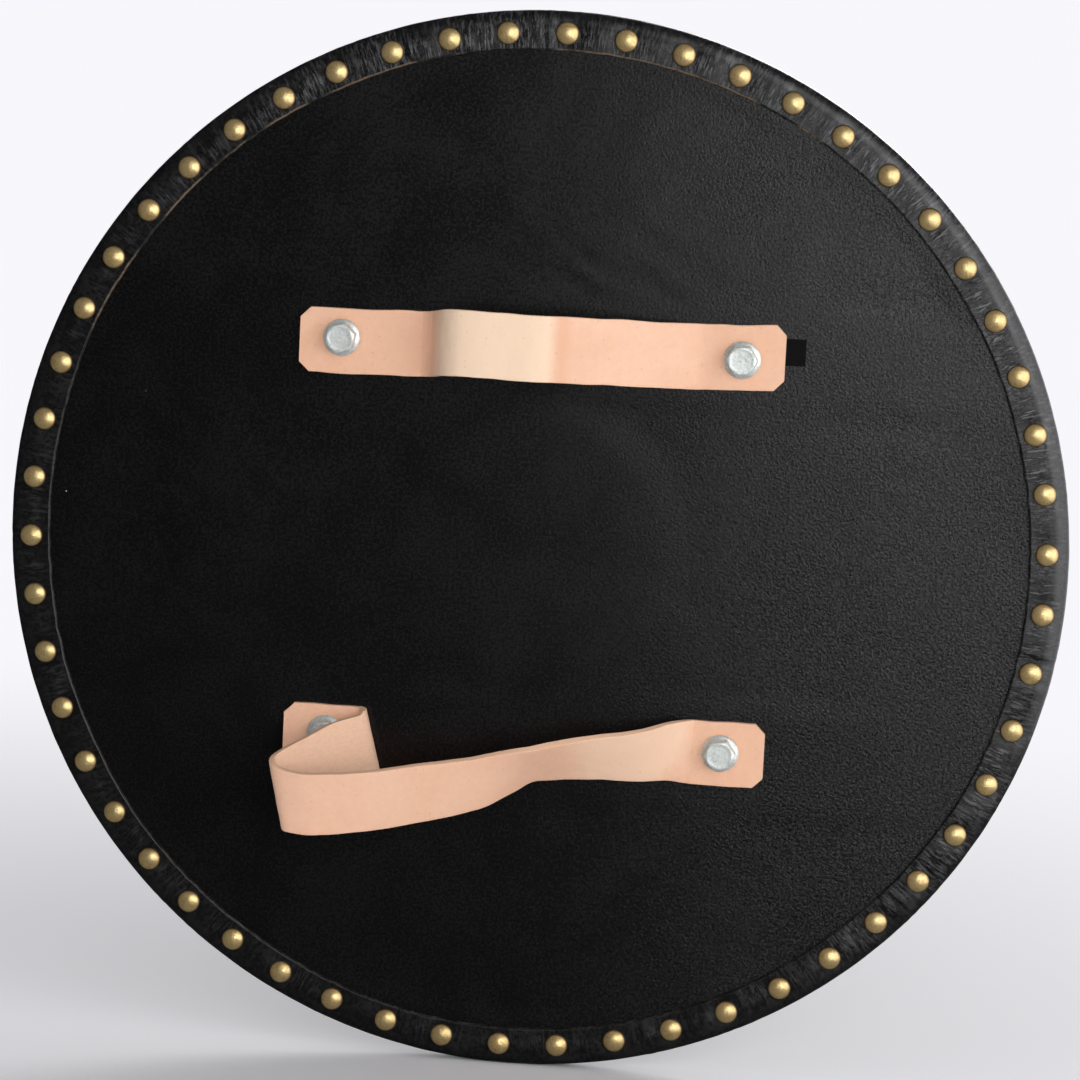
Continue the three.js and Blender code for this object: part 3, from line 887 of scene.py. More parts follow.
@dataclass(frozen=True)
class Brass(Finish):
    """Lightly tarnished brass: pale gold on top, coppery and dull low down, spun on a lathe or not."""

    bright: tuple = (0.88, 0.66, 0.31, 1)
    dull: tuple = (0.62, 0.41, 0.17, 1)
    # Painted shade at the heads' feet: contact shadow and reflected black leather.
    dark: tuple = (0.11, 0.055, 0.024, 1)
    dents: float = 420.0
    spun: float = 0.0
    spun_pitch: float = 0.0011
    roughness: float = 0.31
    metal: float = 0.78
    depth: float = 0.0002

    def paint(self, tree: Tree, where: Value) -> dict:
        """Tarnish in clouds and near the rim, a painted dark ring of contact shadow and reflected black
        leather at each head's foot, fine marks, and lathe rings where spun.

        Args:
            tree: the material's tree.
            where: the place on the brass.

        Returns:
            The shader's inputs.
        """
        rise = tree.number("rise")
        mottled = tree.mottle(where, 330.0, 1300.0, 0.5)
        tarnish = (rise.span(0.1, 0.75, 1.0, 0.0) * 0.7).most(mottled.span(0.42, 1.05))
        colour = tree.blend(tarnish, self.bright, self.dull)
        marks = tree.effect("scratches", where, Fine=520.0, Turn=0.2)[0]
        height = tree.noise(where, self.dents, 4.0, 0.65) + marks * 0.15
        if self.spun:
            radius, _ = tree.about_axis(where)
            height = height + (radius * (2 * math.pi / self.spun_pitch)).step("SINE") * self.spun
        # Painted shade: the lowest brass, the rim of each head and faintly the boss's foot, is darkened as a
        # contact shadow and as the reflection of the black leather beside it.
        return {"Base Color": tree.blend(rise.span(0.1, 0.52, 0.95, 0.0), colour, self.dark),
                "Roughness": tarnish.span(0.0, 1.0, self.roughness, self.roughness + 0.1) + marks * 0.08,
                "Metallic": self.metal, "Normal": tree.relief(height, self.depth)}


@dataclass(frozen=True)
class WovenTape(Finish):
    """Black woven tape with a soft sheen on its threads."""

    name: str = "woven_tape"
    thread: tuple = (0.0035, 0.0035, 0.0045, 1)
    gap: tuple = (0.001, 0.001, 0.001, 1)
    faded: tuple = (0.012, 0.012, 0.013, 1)
    threads: float = 2.2
    sheen: float = 0.02
    gloss: float = 0.1
    depth: float = 0.00018

    def paint(self, tree: Tree, where: Value) -> dict:
        """A plain weave of fine threads, faded in spots.

        Args:
            tree: the material's tree.
            where: the place on the tape.

        Returns:
            The shader's inputs.
        """
        height, gaps = tree.effect("weave", tree.sheet(), Threads=self.threads)
        mottled = tree.mottle(where, 150.0, 1400.0, 0.6)
        colour = tree.blend(gaps, self.thread, self.gap)
        return {"Base Color": tree.blend(mottled.span(0.6, 1, 0, 0.4), colour, self.faded),
                "Roughness": mottled.span(0.0, 1.0, 0.7, 0.85), "Sheen Weight": self.sheen,
                "Specular IOR Level": self.gloss, "Normal": tree.relief(height, self.depth)}


@dataclass(frozen=True)
class Plywood(Finish):
    """Birch ply: long pale grain with darker lines."""

    name: str = "board"
    pale: tuple = (0.62, 0.45, 0.27, 1)
    dark: tuple = (0.34, 0.20, 0.10, 1)
    stretch: tuple = (6, 40, 120)
    depth: float = 0.0002

    def paint(self, tree: Tree, where: Value) -> dict:
        """Stretched noise for the grain and a fleck for its pores.

        Args:
            tree: the material's tree.
            where: the place on the ply.

        Returns:
            The shader's inputs.
        """
        run = tree.get("Mapping", 0, {"Vector": where, "Scale": self.stretch})
        lines = tree.noise(run, 3.0, 6.0, 0.65, 1.5)
        colour = tree.blend(lines.span(0.35, 0.7), self.pale, self.dark)
        return {"Base Color": tree.blend(tree.mottle(where, 12.0, 300.0, 0.4) * 0.3, colour, self.dark),
                "Roughness": lines.span(0.3, 0.7, 0.55, 0.75), "Normal": tree.relief(lines, self.depth)}


@dataclass(frozen=True)
class Finishes:
    """Every material of the targe."""

    black: bpy.types.Material
    lining: bpy.types.Material
    strap: bpy.types.Material
    zinc: bpy.types.Material
    nail_brass: bpy.types.Material
    boss_brass: bpy.types.Material
    tape: bpy.types.Material
    board: bpy.types.Material

    @staticmethod
    def build() -> "Finishes":
        """Makes the shared effects and then each finish once.

        Returns:
            The finishes.
        """
        share_effects()
        kinds = (BlackLeather(), LiningLeather(), StrapLeather(), ZincPlate(), Brass("nail_brass"),
                 Brass("boss_brass", spun=0.12), WovenTape(), Plywood())
        return Finishes(*(kind.make() for kind in kinds))


# The board and what is nailed to it


@dataclass
class Facing:
    """The leather facing with its hem, and the nails through it."""

    radius: float = 255.3
    back: float = -2.0
    front: float = 15.2
    rounding: float = 6.0
    back_reach: float = 8.0
    back_depth: float = 5.0
    core_rounding: float = 4.0
    thickness: float = 2.0
    hem_inner: float = 236.5
    edge_bevel: float = 0.7
    columns: int = 1200
    edge_stray: float = 0.34
    edge_fray: float = 0.07
    short_pucker: float = 0.075
    long_pucker: float = 0.07
    draw: float = 0.12
    rim_calm: float = 0.6
    bend_draw: float = 0.6
    bend_zone: tuple = (245.0, 251.0)
    bare_turn: float = 0.25
    bare_span: tuple = (0.45, 0.7)
    bare_noise: tuple = (-1.6, 0.3)
    back_zone: float = 2.0
    tack_dent: float = 0.38
    face_dent: float = 0.3
    face_wave: float = 0.12
    dent_spread: float = 3.2
    tack_ring: float = 244.7
    tack_count: int = 54
    tack_start: float = 2.31
    tack_stray: tuple = (0.3, 0.06, 0.3)
    tack_radius: float = 5.55
    tack_dome: float = 2.8
    face_rings: tuple = ((0.89, 32), (0.66, 24), (0.41, 16))
    face_radius: float = 4.2
    face_dome: float = 2.2
    nail_lean: float = 0.018
    nail_sink: float = 0.7

    def tacks(self) -> np.ndarray:
        """Centres (x, z) of the hem's nails: even steps round the ring plus a slow stray.

        Returns:
            One row for each nail, in mm.
        """
        even = np.radians(self.tack_start + np.arange(self.tack_count) * 360 / self.tack_count)
        lopsided, oval, skewed = self.tack_stray
        stray = lopsided * np.cos(even) + oval * np.cos(2 * even) + skewed * np.sin(2 * even)
        angle = even + np.radians(stray)
        return self.tack_ring * np.stack([np.cos(angle), np.sin(angle)], -1)

    def face_nails(self) -> np.ndarray:
        """Centres (x, z) of the nails in the front's rings.

        Returns:
            One row for each nail, in mm.
        """
        rings = []
        for share, count in self.face_rings:
            angle = circle(count)
            rings.append(DISC_RADIUS * share * np.stack([np.sin(angle), np.cos(angle)], -1))
        return np.concatenate(rings)

    def dents(self, x: np.ndarray, z: np.ndarray, places: np.ndarray, head: float) -> np.ndarray:
        """How far the leather is drawn in beside nails: a bell on the distance to the nearest one.

        Args:
            x: first coordinate of each point.
            z: second coordinate of each point.
            places: the nails' centres.
            head: the radius of their heads.

        Returns:
            The share of the full dent, from 0 to 1.
        """
        gap = np.full(x.shape, np.inf)
        for place in places:
            gap = np.minimum(gap, np.hypot(x - place[0], z - place[1]))
        return hump(np.maximum(gap - head * 0.9, 0), self.dent_spread)

    def profile(self, angle: np.ndarray) -> list:
        """The rows from the front's middle over the rounded rim to the hem's edge and back inside.

        The hem's edge wanders and frays with ring noise.

        Args:
            angle: the angle of each column, in radians.

        Returns:
            For each row its radii, its places along Y and its hem, rim, front and cut numbers.
        """
        flat = self.radius - self.rounding
        turn = np.radians(np.linspace(0, 90, 9))
        stray, fray = ring_noise(angle, 3, 2, 24, 1.0), ring_noise(angle, 4, 60, 170)
        edge = self.hem_inner + self.edge_stray * stray + self.edge_fray * fray
        rows = []

        def row(radius: "float | np.ndarray", along: float, hem: float = 0.0, rim: float = 0.0,
                front: float = 0.0, cut: float = 0.0) -> None:
            """Adds one row of the profile with its mask numbers."""
            rows.append((np.broadcast_to(radius, angle.shape), np.broadcast_to(along, angle.shape),
                         hem, rim, front, cut))

        # The front, its bend and the rim
        row(0, self.front, front=1)
        for radius in np.linspace(0.06, 0.985, 15) * flat:
            row(radius, self.front, front=1)
        for bend in turn:
            row(flat + self.rounding * np.sin(bend), self.front - self.rounding * (1 - np.cos(bend)),
                hem=0.25 + 0.5 * np.sin(bend), rim=np.sin(bend), front=float(bend == 0))
        shoulder, behind = self.front - self.rounding, self.back + self.back_depth
        for share in (0.33, 0.66):
            row(self.radius, shoulder + share * (behind - shoulder), hem=0.75, rim=1)
        # The bend behind and the hem
        begin = self.radius - self.back_reach
        for bend in turn[::-1]:
            row(begin + self.back_reach * np.sin(bend), self.back + self.back_depth * (1 - np.cos(bend)),
                hem=1, rim=np.sin(bend) ** 0.7)
        for share in np.linspace(0.12, 0.96, 9):
            row(begin + (edge + self.edge_bevel - begin) * share, self.back, hem=1 - 0.55 * share ** 3)
        # The hem's cut edge
        row(edge + self.edge_bevel, self.back, hem=0.4)
        row(edge + 0.22, self.back + 0.22, hem=0.3, cut=0.55)
        row(edge, self.back + self.edge_bevel, cut=1)
        row(edge, -0.35, cut=1)
        row(edge + 0.1, 0, cut=1)
        # Inside, round the board's two corners
        core = flat + self.core_rounding
        row(flat - 3, 0)
        for bend in turn[::3]:
            row(flat + self.core_rounding * np.sin(bend), self.core_rounding * (1 - np.cos(bend)))
        inside = self.front - self.thickness
        for bend in turn[::-3]:
            row(flat + self.core_rounding * np.sin(bend), inside - self.core_rounding * (1 - np.cos(bend)))
        for radius in (core - 12, 120, 10):
            row(radius, inside)
        row(0, inside)
        return rows

    def sag(self, angle: np.ndarray, radius: np.ndarray, along: np.ndarray, masks: np.ndarray,
            outer: np.ndarray) -> np.ndarray:
        """How far the leather sinks: radial puckers, the roll at the bend, dents by nails and slow waves.

        The hem puckers in radial waves of two lengths, which fade over the rim. A bell round each nail
        is drawn in, and the front waves slowly outside the boss.

        Args:
            angle: the angle of each column, in radians.
            radius: the distance of each point from the axis.
            along: its place along Y.
            masks: the hem, rim, front and cut numbers of each row.
            outer: which rows lie outside, up to the cut edge.

        Returns:
            The sag of each point in mm.
        """
        hem, rim, front = (masks[:, k, None] * np.ones(self.columns) for k in range(3))
        x, z = radius * np.sin(angle), radius * np.cos(angle)
        short = ring_noise(angle, 11, 170, 330) * ease(-0.4, 1.2, ring_noise(angle, 12, 6, 40))
        long = ring_noise(angle, 13, 30, 120)
        waves = self.short_pucker * short + self.long_pucker * long + self.draw
        sag = np.where(outer, hem, 0) * waves * (1 - self.rim_calm * rim)
        behind = outer & (along < self.back_zone)
        sag = sag + self.bend_draw * np.where(behind, 1 - rim ** 2, 0) * ease(*self.bend_zone, radius)
        tack_dents = self.dents(x, z, self.tacks(), self.tack_radius)
        sag = sag + self.tack_dent * np.where(behind, hem, 0) * tack_dents
        sag = sag + self.face_dent * front * self.dents(x, z, self.face_nails(), self.face_radius)
        return sag + front * self.face_wave * (1 + field_noise(x, z, 21, 70.0)) * ease(70, 90, radius)

    def skin(self, finish: bpy.types.Material) -> bpy.types.Object:
        """The whole leather skin as one lathe of the profile, moved inwards by its sag.

        Sag acts along the surface's own direction: by the share rim along the radius, and by
        (1 - rim^2)^0.5 along Y. The tan cut edge shows most where the noisy share bare is high.

        Args:
            finish: its leather.

        Returns:
            The skin.
        """
        angle = circle(self.columns)
        rows = self.profile(angle)
        radius, along = (np.stack([row[k] for row in rows]).astype(float) for k in range(2))
        masks = np.array([row[2:] for row in rows])
        first_cut = int(np.argmax(masks[:, 3] >= 1))
        outer = np.arange(len(rows))[:, None] < first_cut
        sag = self.sag(angle, radius, along, masks, outer)
        lean = np.clip(masks[:, 1, None] * np.ones(self.columns), 0, 1)
        middle = (self.front + self.back) / 2
        upright = np.where(along < middle, 1, -1) * np.sqrt(np.clip(1 - lean ** 2, 0, 1))
        points, faces = lathe(radius - sag * lean, along + sag * upright, angle)
        bare = ease(*self.bare_span, np.cos(angle + self.bare_turn))
        bare = bare * ease(*self.bare_noise, ring_noise(angle, 14, 5, 60, 0.4))
        numbers = {}
        for column, key in enumerate(("hem", "rim", "front", "cut")):
            values = masks[1:-1, column, None] * np.ones(self.columns)
            if key == "cut":
                values[first_cut - 3] = bare
                values[first_cut - 2] = np.maximum(0.3, 1.15 * bare)
                values[first_cut - 1:first_cut + 2] = 0.78 + 0.4 * bare
            numbers[key] = np.concatenate([values.ravel(), [masks[0, column], masks[-1, column]]])
        return make_piece("leather_skin", points, faces, finish, ("leather_facing",),
                          numbers, sharp=50)

    def nails(self, finish: bpy.types.Material) -> list:
        """The hem's nails and the front's nails, each set one piece of domed heads.

        Args:
            finish: their brass.

        Returns:
            The two pieces.
        """
        dice = np.random.default_rng(5)
        sets = (("rim_nails", self.tacks(), self.tack_radius, self.tack_dome, self.back, Side.BACK, 28, 7),
                ("front_nails", self.face_nails(), self.face_radius, self.face_dome, self.front, Side.FRONT,
                 20, 5))
        made = []
        for name, places, radius, dome, seat, side, sides, rings in sets:
            turns = dice.normal(0, self.nail_lean, (len(places), 2))
            points, faces, rise = many_domes(places, radius, dome, seat, side, sides, rings, self.nail_sink,
                                             turns)
            made.append(make_piece(name, points, faces, finish, ("leather_facing",), {"rise": rise}))
        return made


@dataclass
class Lining:
    """The black leather lining over the back of the board."""

    radius: float = 247.6
    thickness: float = 1.2
    columns: int = 420
    rings: int = 96
    slow_sink: float = 0.28
    fine_sink: float = 0.07
    wrinkle_sink: float = 0.16
    most_sink: float = 0.9
    slack_places: tuple = ((30.0, 128.0, 1.6, 45.0), (-170.0, 20.0, 1.0, 60.0))
    flat_bands: tuple = ((96.0, 17.0), (-97.0, 20.0))
    band_fade: float = 14.0
    flat_middle: tuple = (58.0, 80.0)
    flat_edge: tuple = (236.0, 226.0)

    def build(self, finish: bpy.types.Material) -> bpy.types.Object:
        """A disc whose outer face sinks in slow waves and a few slack wrinkles, flat where straps lie.

        The sink is a sum of slow noise, fine noise and a wrinkle wave inside two bells of slack leather.
        Bands under the straps, the middle and the edge stay flat.

        Args:
            finish: its leather.

        Returns:
            The lining.
        """
        angle = circle(self.columns)
        share = np.linspace(0, 1, self.rings + 1)
        radius = np.concatenate([share * self.radius, [self.radius, self.radius * 0.5, 0]])
        radius = np.broadcast_to(radius[:, None], (radius.size, self.columns))
        x, z = radius * np.sin(angle), radius * np.cos(angle)
        slow = 0.5 + 0.25 * field_noise(x, z, 31, 110.0)
        fine = 0.5 + 0.25 * field_noise(x, z, 32, 26.0)
        slack = 0.0
        for right, up, squash, spread in self.slack_places:
            slack = slack + hump(np.hypot(x - right, (z - up) * squash), spread)
        wrinkle = slack * (0.5 + 0.5 * np.cos((x * 0.42 + z * 0.9) / 3.1 + 1.4 * field_noise(x, z, 33, 40.0)))
        loose = 1.0
        for line, half in self.flat_bands:
            loose = loose * ease(0, self.band_fade, np.abs(z - line) - half)
        loose = loose * ease(*self.flat_middle, radius) * ease(*self.flat_edge, radius)
        sink = self.slow_sink * slow + self.fine_sink * fine + self.wrinkle_sink * wrinkle
        along = np.clip(sink * np.maximum(loose, 0.0), 0, self.most_sink)
        along[self.rings + 1:] = self.thickness
        points, faces = lathe(radius, along, angle)
        return make_piece("lining_sheet", points, faces, finish, ("back_lining",))


# The straps


def centripetal(rows: np.ndarray, size: int, shares: np.ndarray) -> np.ndarray:
    """Points of a centripetal Catmull-Rom curve, the same curve that the solid's source draws.

    Between two rows the point is h00 p1 + h10 t1 + h01 p2 + h11 t2 with Hermite weights h, and the
    tangents t come from the square roots of the distances between neighbouring rows.

    Args:
        rows: the rows that the curve passes through.
        size: how many of the columns count for the distances.
        shares: places along the curve from 0 to 1, even from row to row.

    Returns:
        One point for each share.
    """
    whole = np.vstack([2 * rows[0] - rows[1], rows, 2 * rows[-1] - rows[-2]])
    gap = np.sqrt(np.linalg.norm(np.diff(whole[:, :size], axis=0), axis=1))
    turn = shares * (len(rows) - 1)
    first = np.clip(turn.astype(int), 0, len(rows) - 2)
    u = (turn - first)[:, None]
    before, here, there, after = (whole[first + k] for k in range(4))
    middle = gap[first + 1][:, None]
    middle = np.where(middle < 1e-4, 1.0, middle)
    start = gap[first][:, None]
    start = np.where(start < 1e-4, middle, start)
    end = gap[first + 2][:, None]
    end = np.where(end < 1e-4, middle, end)
    t1 = ((here - before) / start - (there - before) / (start + middle) + (there - here) / middle) * middle
    t2 = ((there - here) / middle - (after - here) / (middle + end) + (after - there) / end) * middle
    return ((2 * u ** 3 - 3 * u ** 2 + 1) * here + (u ** 3 - 2 * u ** 2 + u) * t1
            + (3 * u ** 2 - 2 * u ** 3) * there + (u ** 3 - u ** 2) * t2)


@dataclass(frozen=True)
class Tab:
    """A bare woven tab that lies on the lining, tucked under a strap's end."""

    name: str
    start: float
    end: float
    middle: float
    stands_for: str
    width: float = 13.0
    thickness: float = 0.6
    columns: int = 60

    def holds(self, x: np.ndarray, z: np.ndarray, play: float) -> np.ndarray:
        """Whether a place is on the tab, grown by a play."""
        inside = (x > self.start - play) & (x < self.end + play)
        return inside & (np.abs(z - self.middle) < self.width / 2 + play)

    def build(self, finish: bpy.types.Material) -> bpy.types.Object:
        """A thin closed band whose height is thickness (1 + 3 (1 - |v|^8)^0.5) / 4 at share v across it.

        Args:
            finish: its weave.

        Returns:
            The tab.
        """
        long = np.linspace(0, 1, self.columns)[:, None]
        turn = np.concatenate([np.linspace(-1, 1, 25), np.linspace(0.9, -0.9, 5)])[None, :]
        top = (np.arange(turn.size) < 25)[None, :]
        z = self.middle + turn * (self.width / 2) * (1 - 0.012 * (1 + np.cos(long * 40)))
        x = self.start + (self.end - self.start) * long + 0 * turn
        crown = (1 - np.abs(turn) ** 8) ** 0.5
        lift = self.thickness * (0.25 + 0.75 * crown) * np.where(top, 1, 0)
        weave = 0.03 * np.cos(x * 7) * np.cos(z * 7) * top
        points = np.stack([x, -np.clip(lift + weave, 0, self.thickness), z], -1).reshape(-1, 3)
        columns = turn.size
        caps = [np.arange(columns)[None, :], (self.columns - 1) * columns + np.arange(columns)[::-1][None, :]]
        uv = np.stack([points[:, 0] - self.start, points[:, 2]], -1)
        faces = [grid_faces(self.columns, columns), caps[0], caps[1]]
        return make_piece(self.name, points, faces, finish, (self.stands_for,), uv=uv)


@dataclass
class Strap:
    """A leather strap drawn through rulers; each ruler has a place, a lean, a tilt and a width.

    The places along X between which the raised leather grows pale and tan again come first, then how pale it
    becomes, then how tan the crease is that ends the pale stretch. The pale is partly stretched leather and
    partly painted light that lifts the shade on the raised part.
    """

    width: float = 31.2
    thickness: float = 3.0
    corner: float = 4.8
    aside: float = 0.55
    span: float = 191.7
    end_width: float = 21.6
    left_bolt: float = -96.4
    right_bolt: float = 95.3
    per_ruler: int = 14
    edge_wander: float = 0.10
    ripple: float = 0.05
    cup: float = 0.10
    press_ring: float = 11.2
    press_spread: float = 1.7
    press_rise: float = 0.16
    press_mark: float = 8.9
    press_reach: float = 9.4
    press_face: float = -2.98
    standing: tuple = (1.5, 8.0)
    lifting: tuple = (3.2, 9.0)
    crease_spread: float = 3.5
    seed: int = 50
    # Where the raised leather is pale: partly stretched leather, partly painted light over the shade at the
    # grip's rise.
    pale_and_painted_light: tuple = (-53.0, -46.0, 4.0, 12.0)
    paler_and_painted_light: float = 1.0
    crease: float = 0.6

    def along_span(self, share: float) -> float:
        """The place along X of a share of the bolt span, -1 at the left bolt and 1 at the right."""
        return -self.aside + share * self.span / 2

    def ruler(self, x: float, out: float, z: float, lean: float = 0.0, tilt: float = 0.0,
              width: float = None) -> list:
        """One ruler across the strap, its middle half a thickness over the lining at out = 0.

        Args:
            x: its place along X.
            out: how far it stands off the lining.
            z: its place along Z.
            lean: how far its top leans towards -X, in degrees.
            tilt: how far its top tilts away from the lining, in degrees.
            width: the strap's width there, the whole width where it is left out.

        Returns:
            The ruler as one row.
        """
        return [x, -self.thickness / 2 - out, z, lean, tilt, self.width if width is None else width]

    def rulers(self) -> list:
        """The strap's rulers, from its left end to its right.

        Returns:
            The rulers, one row each.
        """
        raise NotImplementedError

    def bolt_places(self) -> tuple:
        """The two bolts (x, z) that clamp the strap."""
        raise NotImplementedError

    def section(self) -> tuple:
        """The section round the strap: shares across and thick, with rounded corners, and masks.

        Returns:
            Shares across (-1 to 1), shares thick (-1 to 1), the flesh mask and the cut-edge mask.
        """
        face = np.linspace(-1, 1, 17)[1:-1]
        bend = np.radians(np.linspace(0, 90, 5))
        side, rim = 1 - 0.45 / (self.width / 2), 1 - 0.45 / (self.thickness / 2)
        corner_across = side + (1 - side) * np.sin(bend)
        corner_thick = rim + (1 - rim) * np.cos(bend)
        across = np.concatenate([face * side, corner_across, [1, 1], corner_across[::-1],
                                 face[::-1] * side, -corner_across, [-1, -1], -corner_across[::-1]])
        thick = np.concatenate([np.ones(15), corner_thick, [rim * 0.4, -rim * 0.4], -corner_thick[::-1],
                                -np.ones(15), -corner_thick, [-rim * 0.4, rim * 0.4], corner_thick[::-1]])
        flesh = np.where(thick < -0.4, 1.0, 0.0)
        cut = np.where(np.abs(across) > 0.993, 1.0, np.where(np.abs(across) > side * 1.001, 0.5, 0.0))
        return across, thick, flesh, cut

    def press(self, points: np.ndarray, grain_side: np.ndarray) -> np.ndarray:
        """Presses a hollow with a raised ring round it under each bolt.

        Args:
            points: the strap's points, which move.
            grain_side: which columns of points are on the grain side.

        Returns:
            How hard each point is pressed, from 0 to 1.
        """
        pressed = np.zeros(points.shape[:2])
        for x, z in self.bolt_places():
            gap = np.hypot(points[..., 0] - x, points[..., 2] - z)
            near = (points[..., 1] > -self.thickness * 1.2) & grain_side
            ring = hump(gap - self.press_ring, self.press_spread) * self.press_rise
            points[..., 1] = np.where(near, points[..., 1] - ring, points[..., 1])
            hollow = np.maximum(points[..., 1], self.press_face)
            points[..., 1] = np.where(near & (gap < self.press_reach), hollow, points[..., 1])
            pressed = np.maximum(pressed, np.where(near, hump(np.maximum(gap - self.press_mark, 0), 1.1), 0))
        return pressed

    def masks(self, points: np.ndarray) -> dict:
        """Where the leather lies on the lining, is raised and pale, partly with painted light over its shade,
        and is creased.

        Args:
            points: the strap's points.

        Returns:
            The three numbers of each point, by name.
        """
        x, out = points[..., 0], -points[..., 1]
        high = ease(*self.standing, out)
        rising, falling = ease(*self.pale_and_painted_light[:2], x), ease(self.pale_and_painted_light[3], self.pale_and_painted_light[2], x)
        return {"pale_and_painted_light": (self.paler_and_painted_light * high * rising * falling).ravel(),
                "lying": (1 - ease(*self.lifting, out)).ravel(),
                "crease": (self.crease * high * hump(x - self.pale_and_painted_light[3], self.crease_spread)).ravel()}

    def build(self, name: str, stands_for: str, tab: Tab, finish: bpy.types.Material) -> bpy.types.Object:
        """Carries the section along the curve through the rulers.

        A point is place + share across * half width * across + share thick * half thickness * out,
        where out is the cross product of along and across. Small noise makes the edges and the faces
        uneven, and each bolt presses a hollow with a raised ring round it.

        Args:
            name: the piece's name.
            stands_for: the CAD node that it replaces.
            tab: the tab under its end.
            finish: its leather.

        Returns:
            The strap.
        """
        table = np.array(self.rulers(), float)
        steps = (len(table) - 1) * self.per_ruler
        shares = np.linspace(0, 1, steps + 1)
        place = centripetal(table[:, :3], 3, shares)
        turns = centripetal(table[:, 3:], 3, shares)
        place[:, 1] = np.minimum(place[:, 1], -self.thickness / 2)
        ahead = centripetal(table[:, :3], 3, np.clip(shares + 1e-4, 0, 1))
        behind = centripetal(table[:, :3], 3, np.clip(shares - 1e-4, 0, 1))
        along = ahead - behind
        along /= np.linalg.norm(along, axis=1)[:, None]
        lean, tilt = np.radians(turns[:, 0]), np.radians(turns[:, 1])
        inward = np.minimum(place[:, 0] - place[0, 0], place[-1, 0] - place[:, 0]) / self.corner
        step = np.arange(steps + 1)
        at_end = (step <= self.per_ruler) | (step >= steps - self.per_ruler)
        grown = self.end_width + (self.width - self.end_width) * np.clip(inward, 0, 1)
        width = np.where(at_end, grown, self.width)
        across = np.stack([-np.sin(lean) * np.cos(tilt), -np.sin(tilt), np.cos(lean) * np.cos(tilt)], -1)
        out = np.cross(along, across)
        out /= np.linalg.norm(out, axis=1)[:, None]
        square = np.sqrt(1 - (along * across).sum(1) ** 2)
        run = np.concatenate([[0], np.cumsum(np.linalg.norm(np.diff(place, axis=0), axis=1))])
        share_across, share_thick, flesh, cut = self.section()
        half = (width / 2 / square)[:, None]
        flat_u = share_across[None, :] * half
        far = run[:, None] + 0 * flat_u
        wander = self.edge_wander * field_noise(far, np.sign(share_across) * 40, self.seed, 22.0)
        flat_u = flat_u + wander * np.abs(share_across) ** 6
        dip = self.ripple * field_noise(far, flat_u, self.seed + 1, 9.0)
        cup = self.cup * (np.abs(share_across) ** 2 - 0.4)[None, :]
        lift = (share_thick * self.thickness / 2)[None, :] + np.where(share_thick > 0, dip - cup, -dip * 0.5)
        points = place[:, None, :] + flat_u[..., None] * across[:, None, :]
        points = points + lift[..., None] * out[:, None, :]
        pressed = self.press(points, (share_thick > 0)[None, :])
        points[..., 1] = np.minimum(points[..., 1], 0.0)
        on_tab = tab.holds(points[..., 0], points[..., 2], 0.5)
        points[..., 1] = np.where(on_tab, np.minimum(points[..., 1], -tab.thickness - 0.05), points[..., 1])
        rows, columns = points.shape[:2]
        caps = [np.arange(columns)[None, ::-1], (rows - 1) * columns + np.arange(columns)[None, :]]
        cut_edge = np.tile(cut, (rows, 1))
        cut_edge[[0, -1]] = 1
        numbers = {"flesh": np.tile(flesh, rows), "pressed": pressed.ravel(), "cut": cut_edge.ravel(),
                   **self.masks(points)}
        uv = np.stack([np.broadcast_to(run[:, None], flat_u.shape), flat_u], -1).reshape(-1, 2)
        faces = [grid_faces(rows, columns)[:, ::-1], caps[0], caps[1]]
        return make_piece(name, points.reshape(-1, 3), faces, finish, (stands_for,),
                          numbers, uv, 45)


@dataclass
class Grip(Strap):
    """The grip: flat under both bolts and bowed out between them for the hand."""

    line: float = 95.6
    overhang: float = 20.3
    depth: float = 31.5
    skew: float = 1.4
    rise: float = 2.8
    shares: tuple = ((-0.86, 0, -0.15), (-0.7, 0, -0.05), (-0.592, 0, 0), (-0.54, 0.12, 0.15),
                     (-0.495, 0.42, 0.52), (-0.45, 0.72, 0.9), (-0.39, 0.885, 1.08), (-0.29, 0.96, 1.05),
                     (-0.15, 0.985, 0.86), (-0.01, 1, 0.72), (0.07, 0.96, 0.66), (0.17, 0.85, 0.6),
                     (0.3, 0.7, 0.45), (0.506, 0.43, 0.125), (0.689, 0.15, -0.135), (0.79, 0.02, -0.255),
                     (0.85, 0, -0.24), (0.9, 0, -0.18))

    def rulers(self) -> list:
        """Flat ends, and a bow between them that leans a little upwards as it rises.

        Returns:
            The rulers, one row each.
        """
        left, right = self.left_bolt - self.overhang, self.right_bolt + self.overhang

        def line_at(x: float) -> float:
            """The strap's middle line in Z at a place along X."""
            return self.line + self.skew * (x + self.aside) * 2 / self.span

        made = [self.ruler(left, 0, line_at(left), width=self.end_width),
                self.ruler(left + self.corner, 0, line_at(left + self.corner))]
        for share, out, up in self.shares:
            x = self.along_span(share)
            made.append(self.ruler(x, self.depth * out, line_at(x) + self.rise * up))
        made.append(self.ruler(right - self.corner, 0, line_at(right - self.corner)))
        made.append(self.ruler(right, 0, line_at(right), width=self.end_width))
        return made

    def bolt_places(self) -> tuple:
        """Both bolts are on one line."""
        return (self.left_bolt, self.line), (self.right_bolt, self.line)


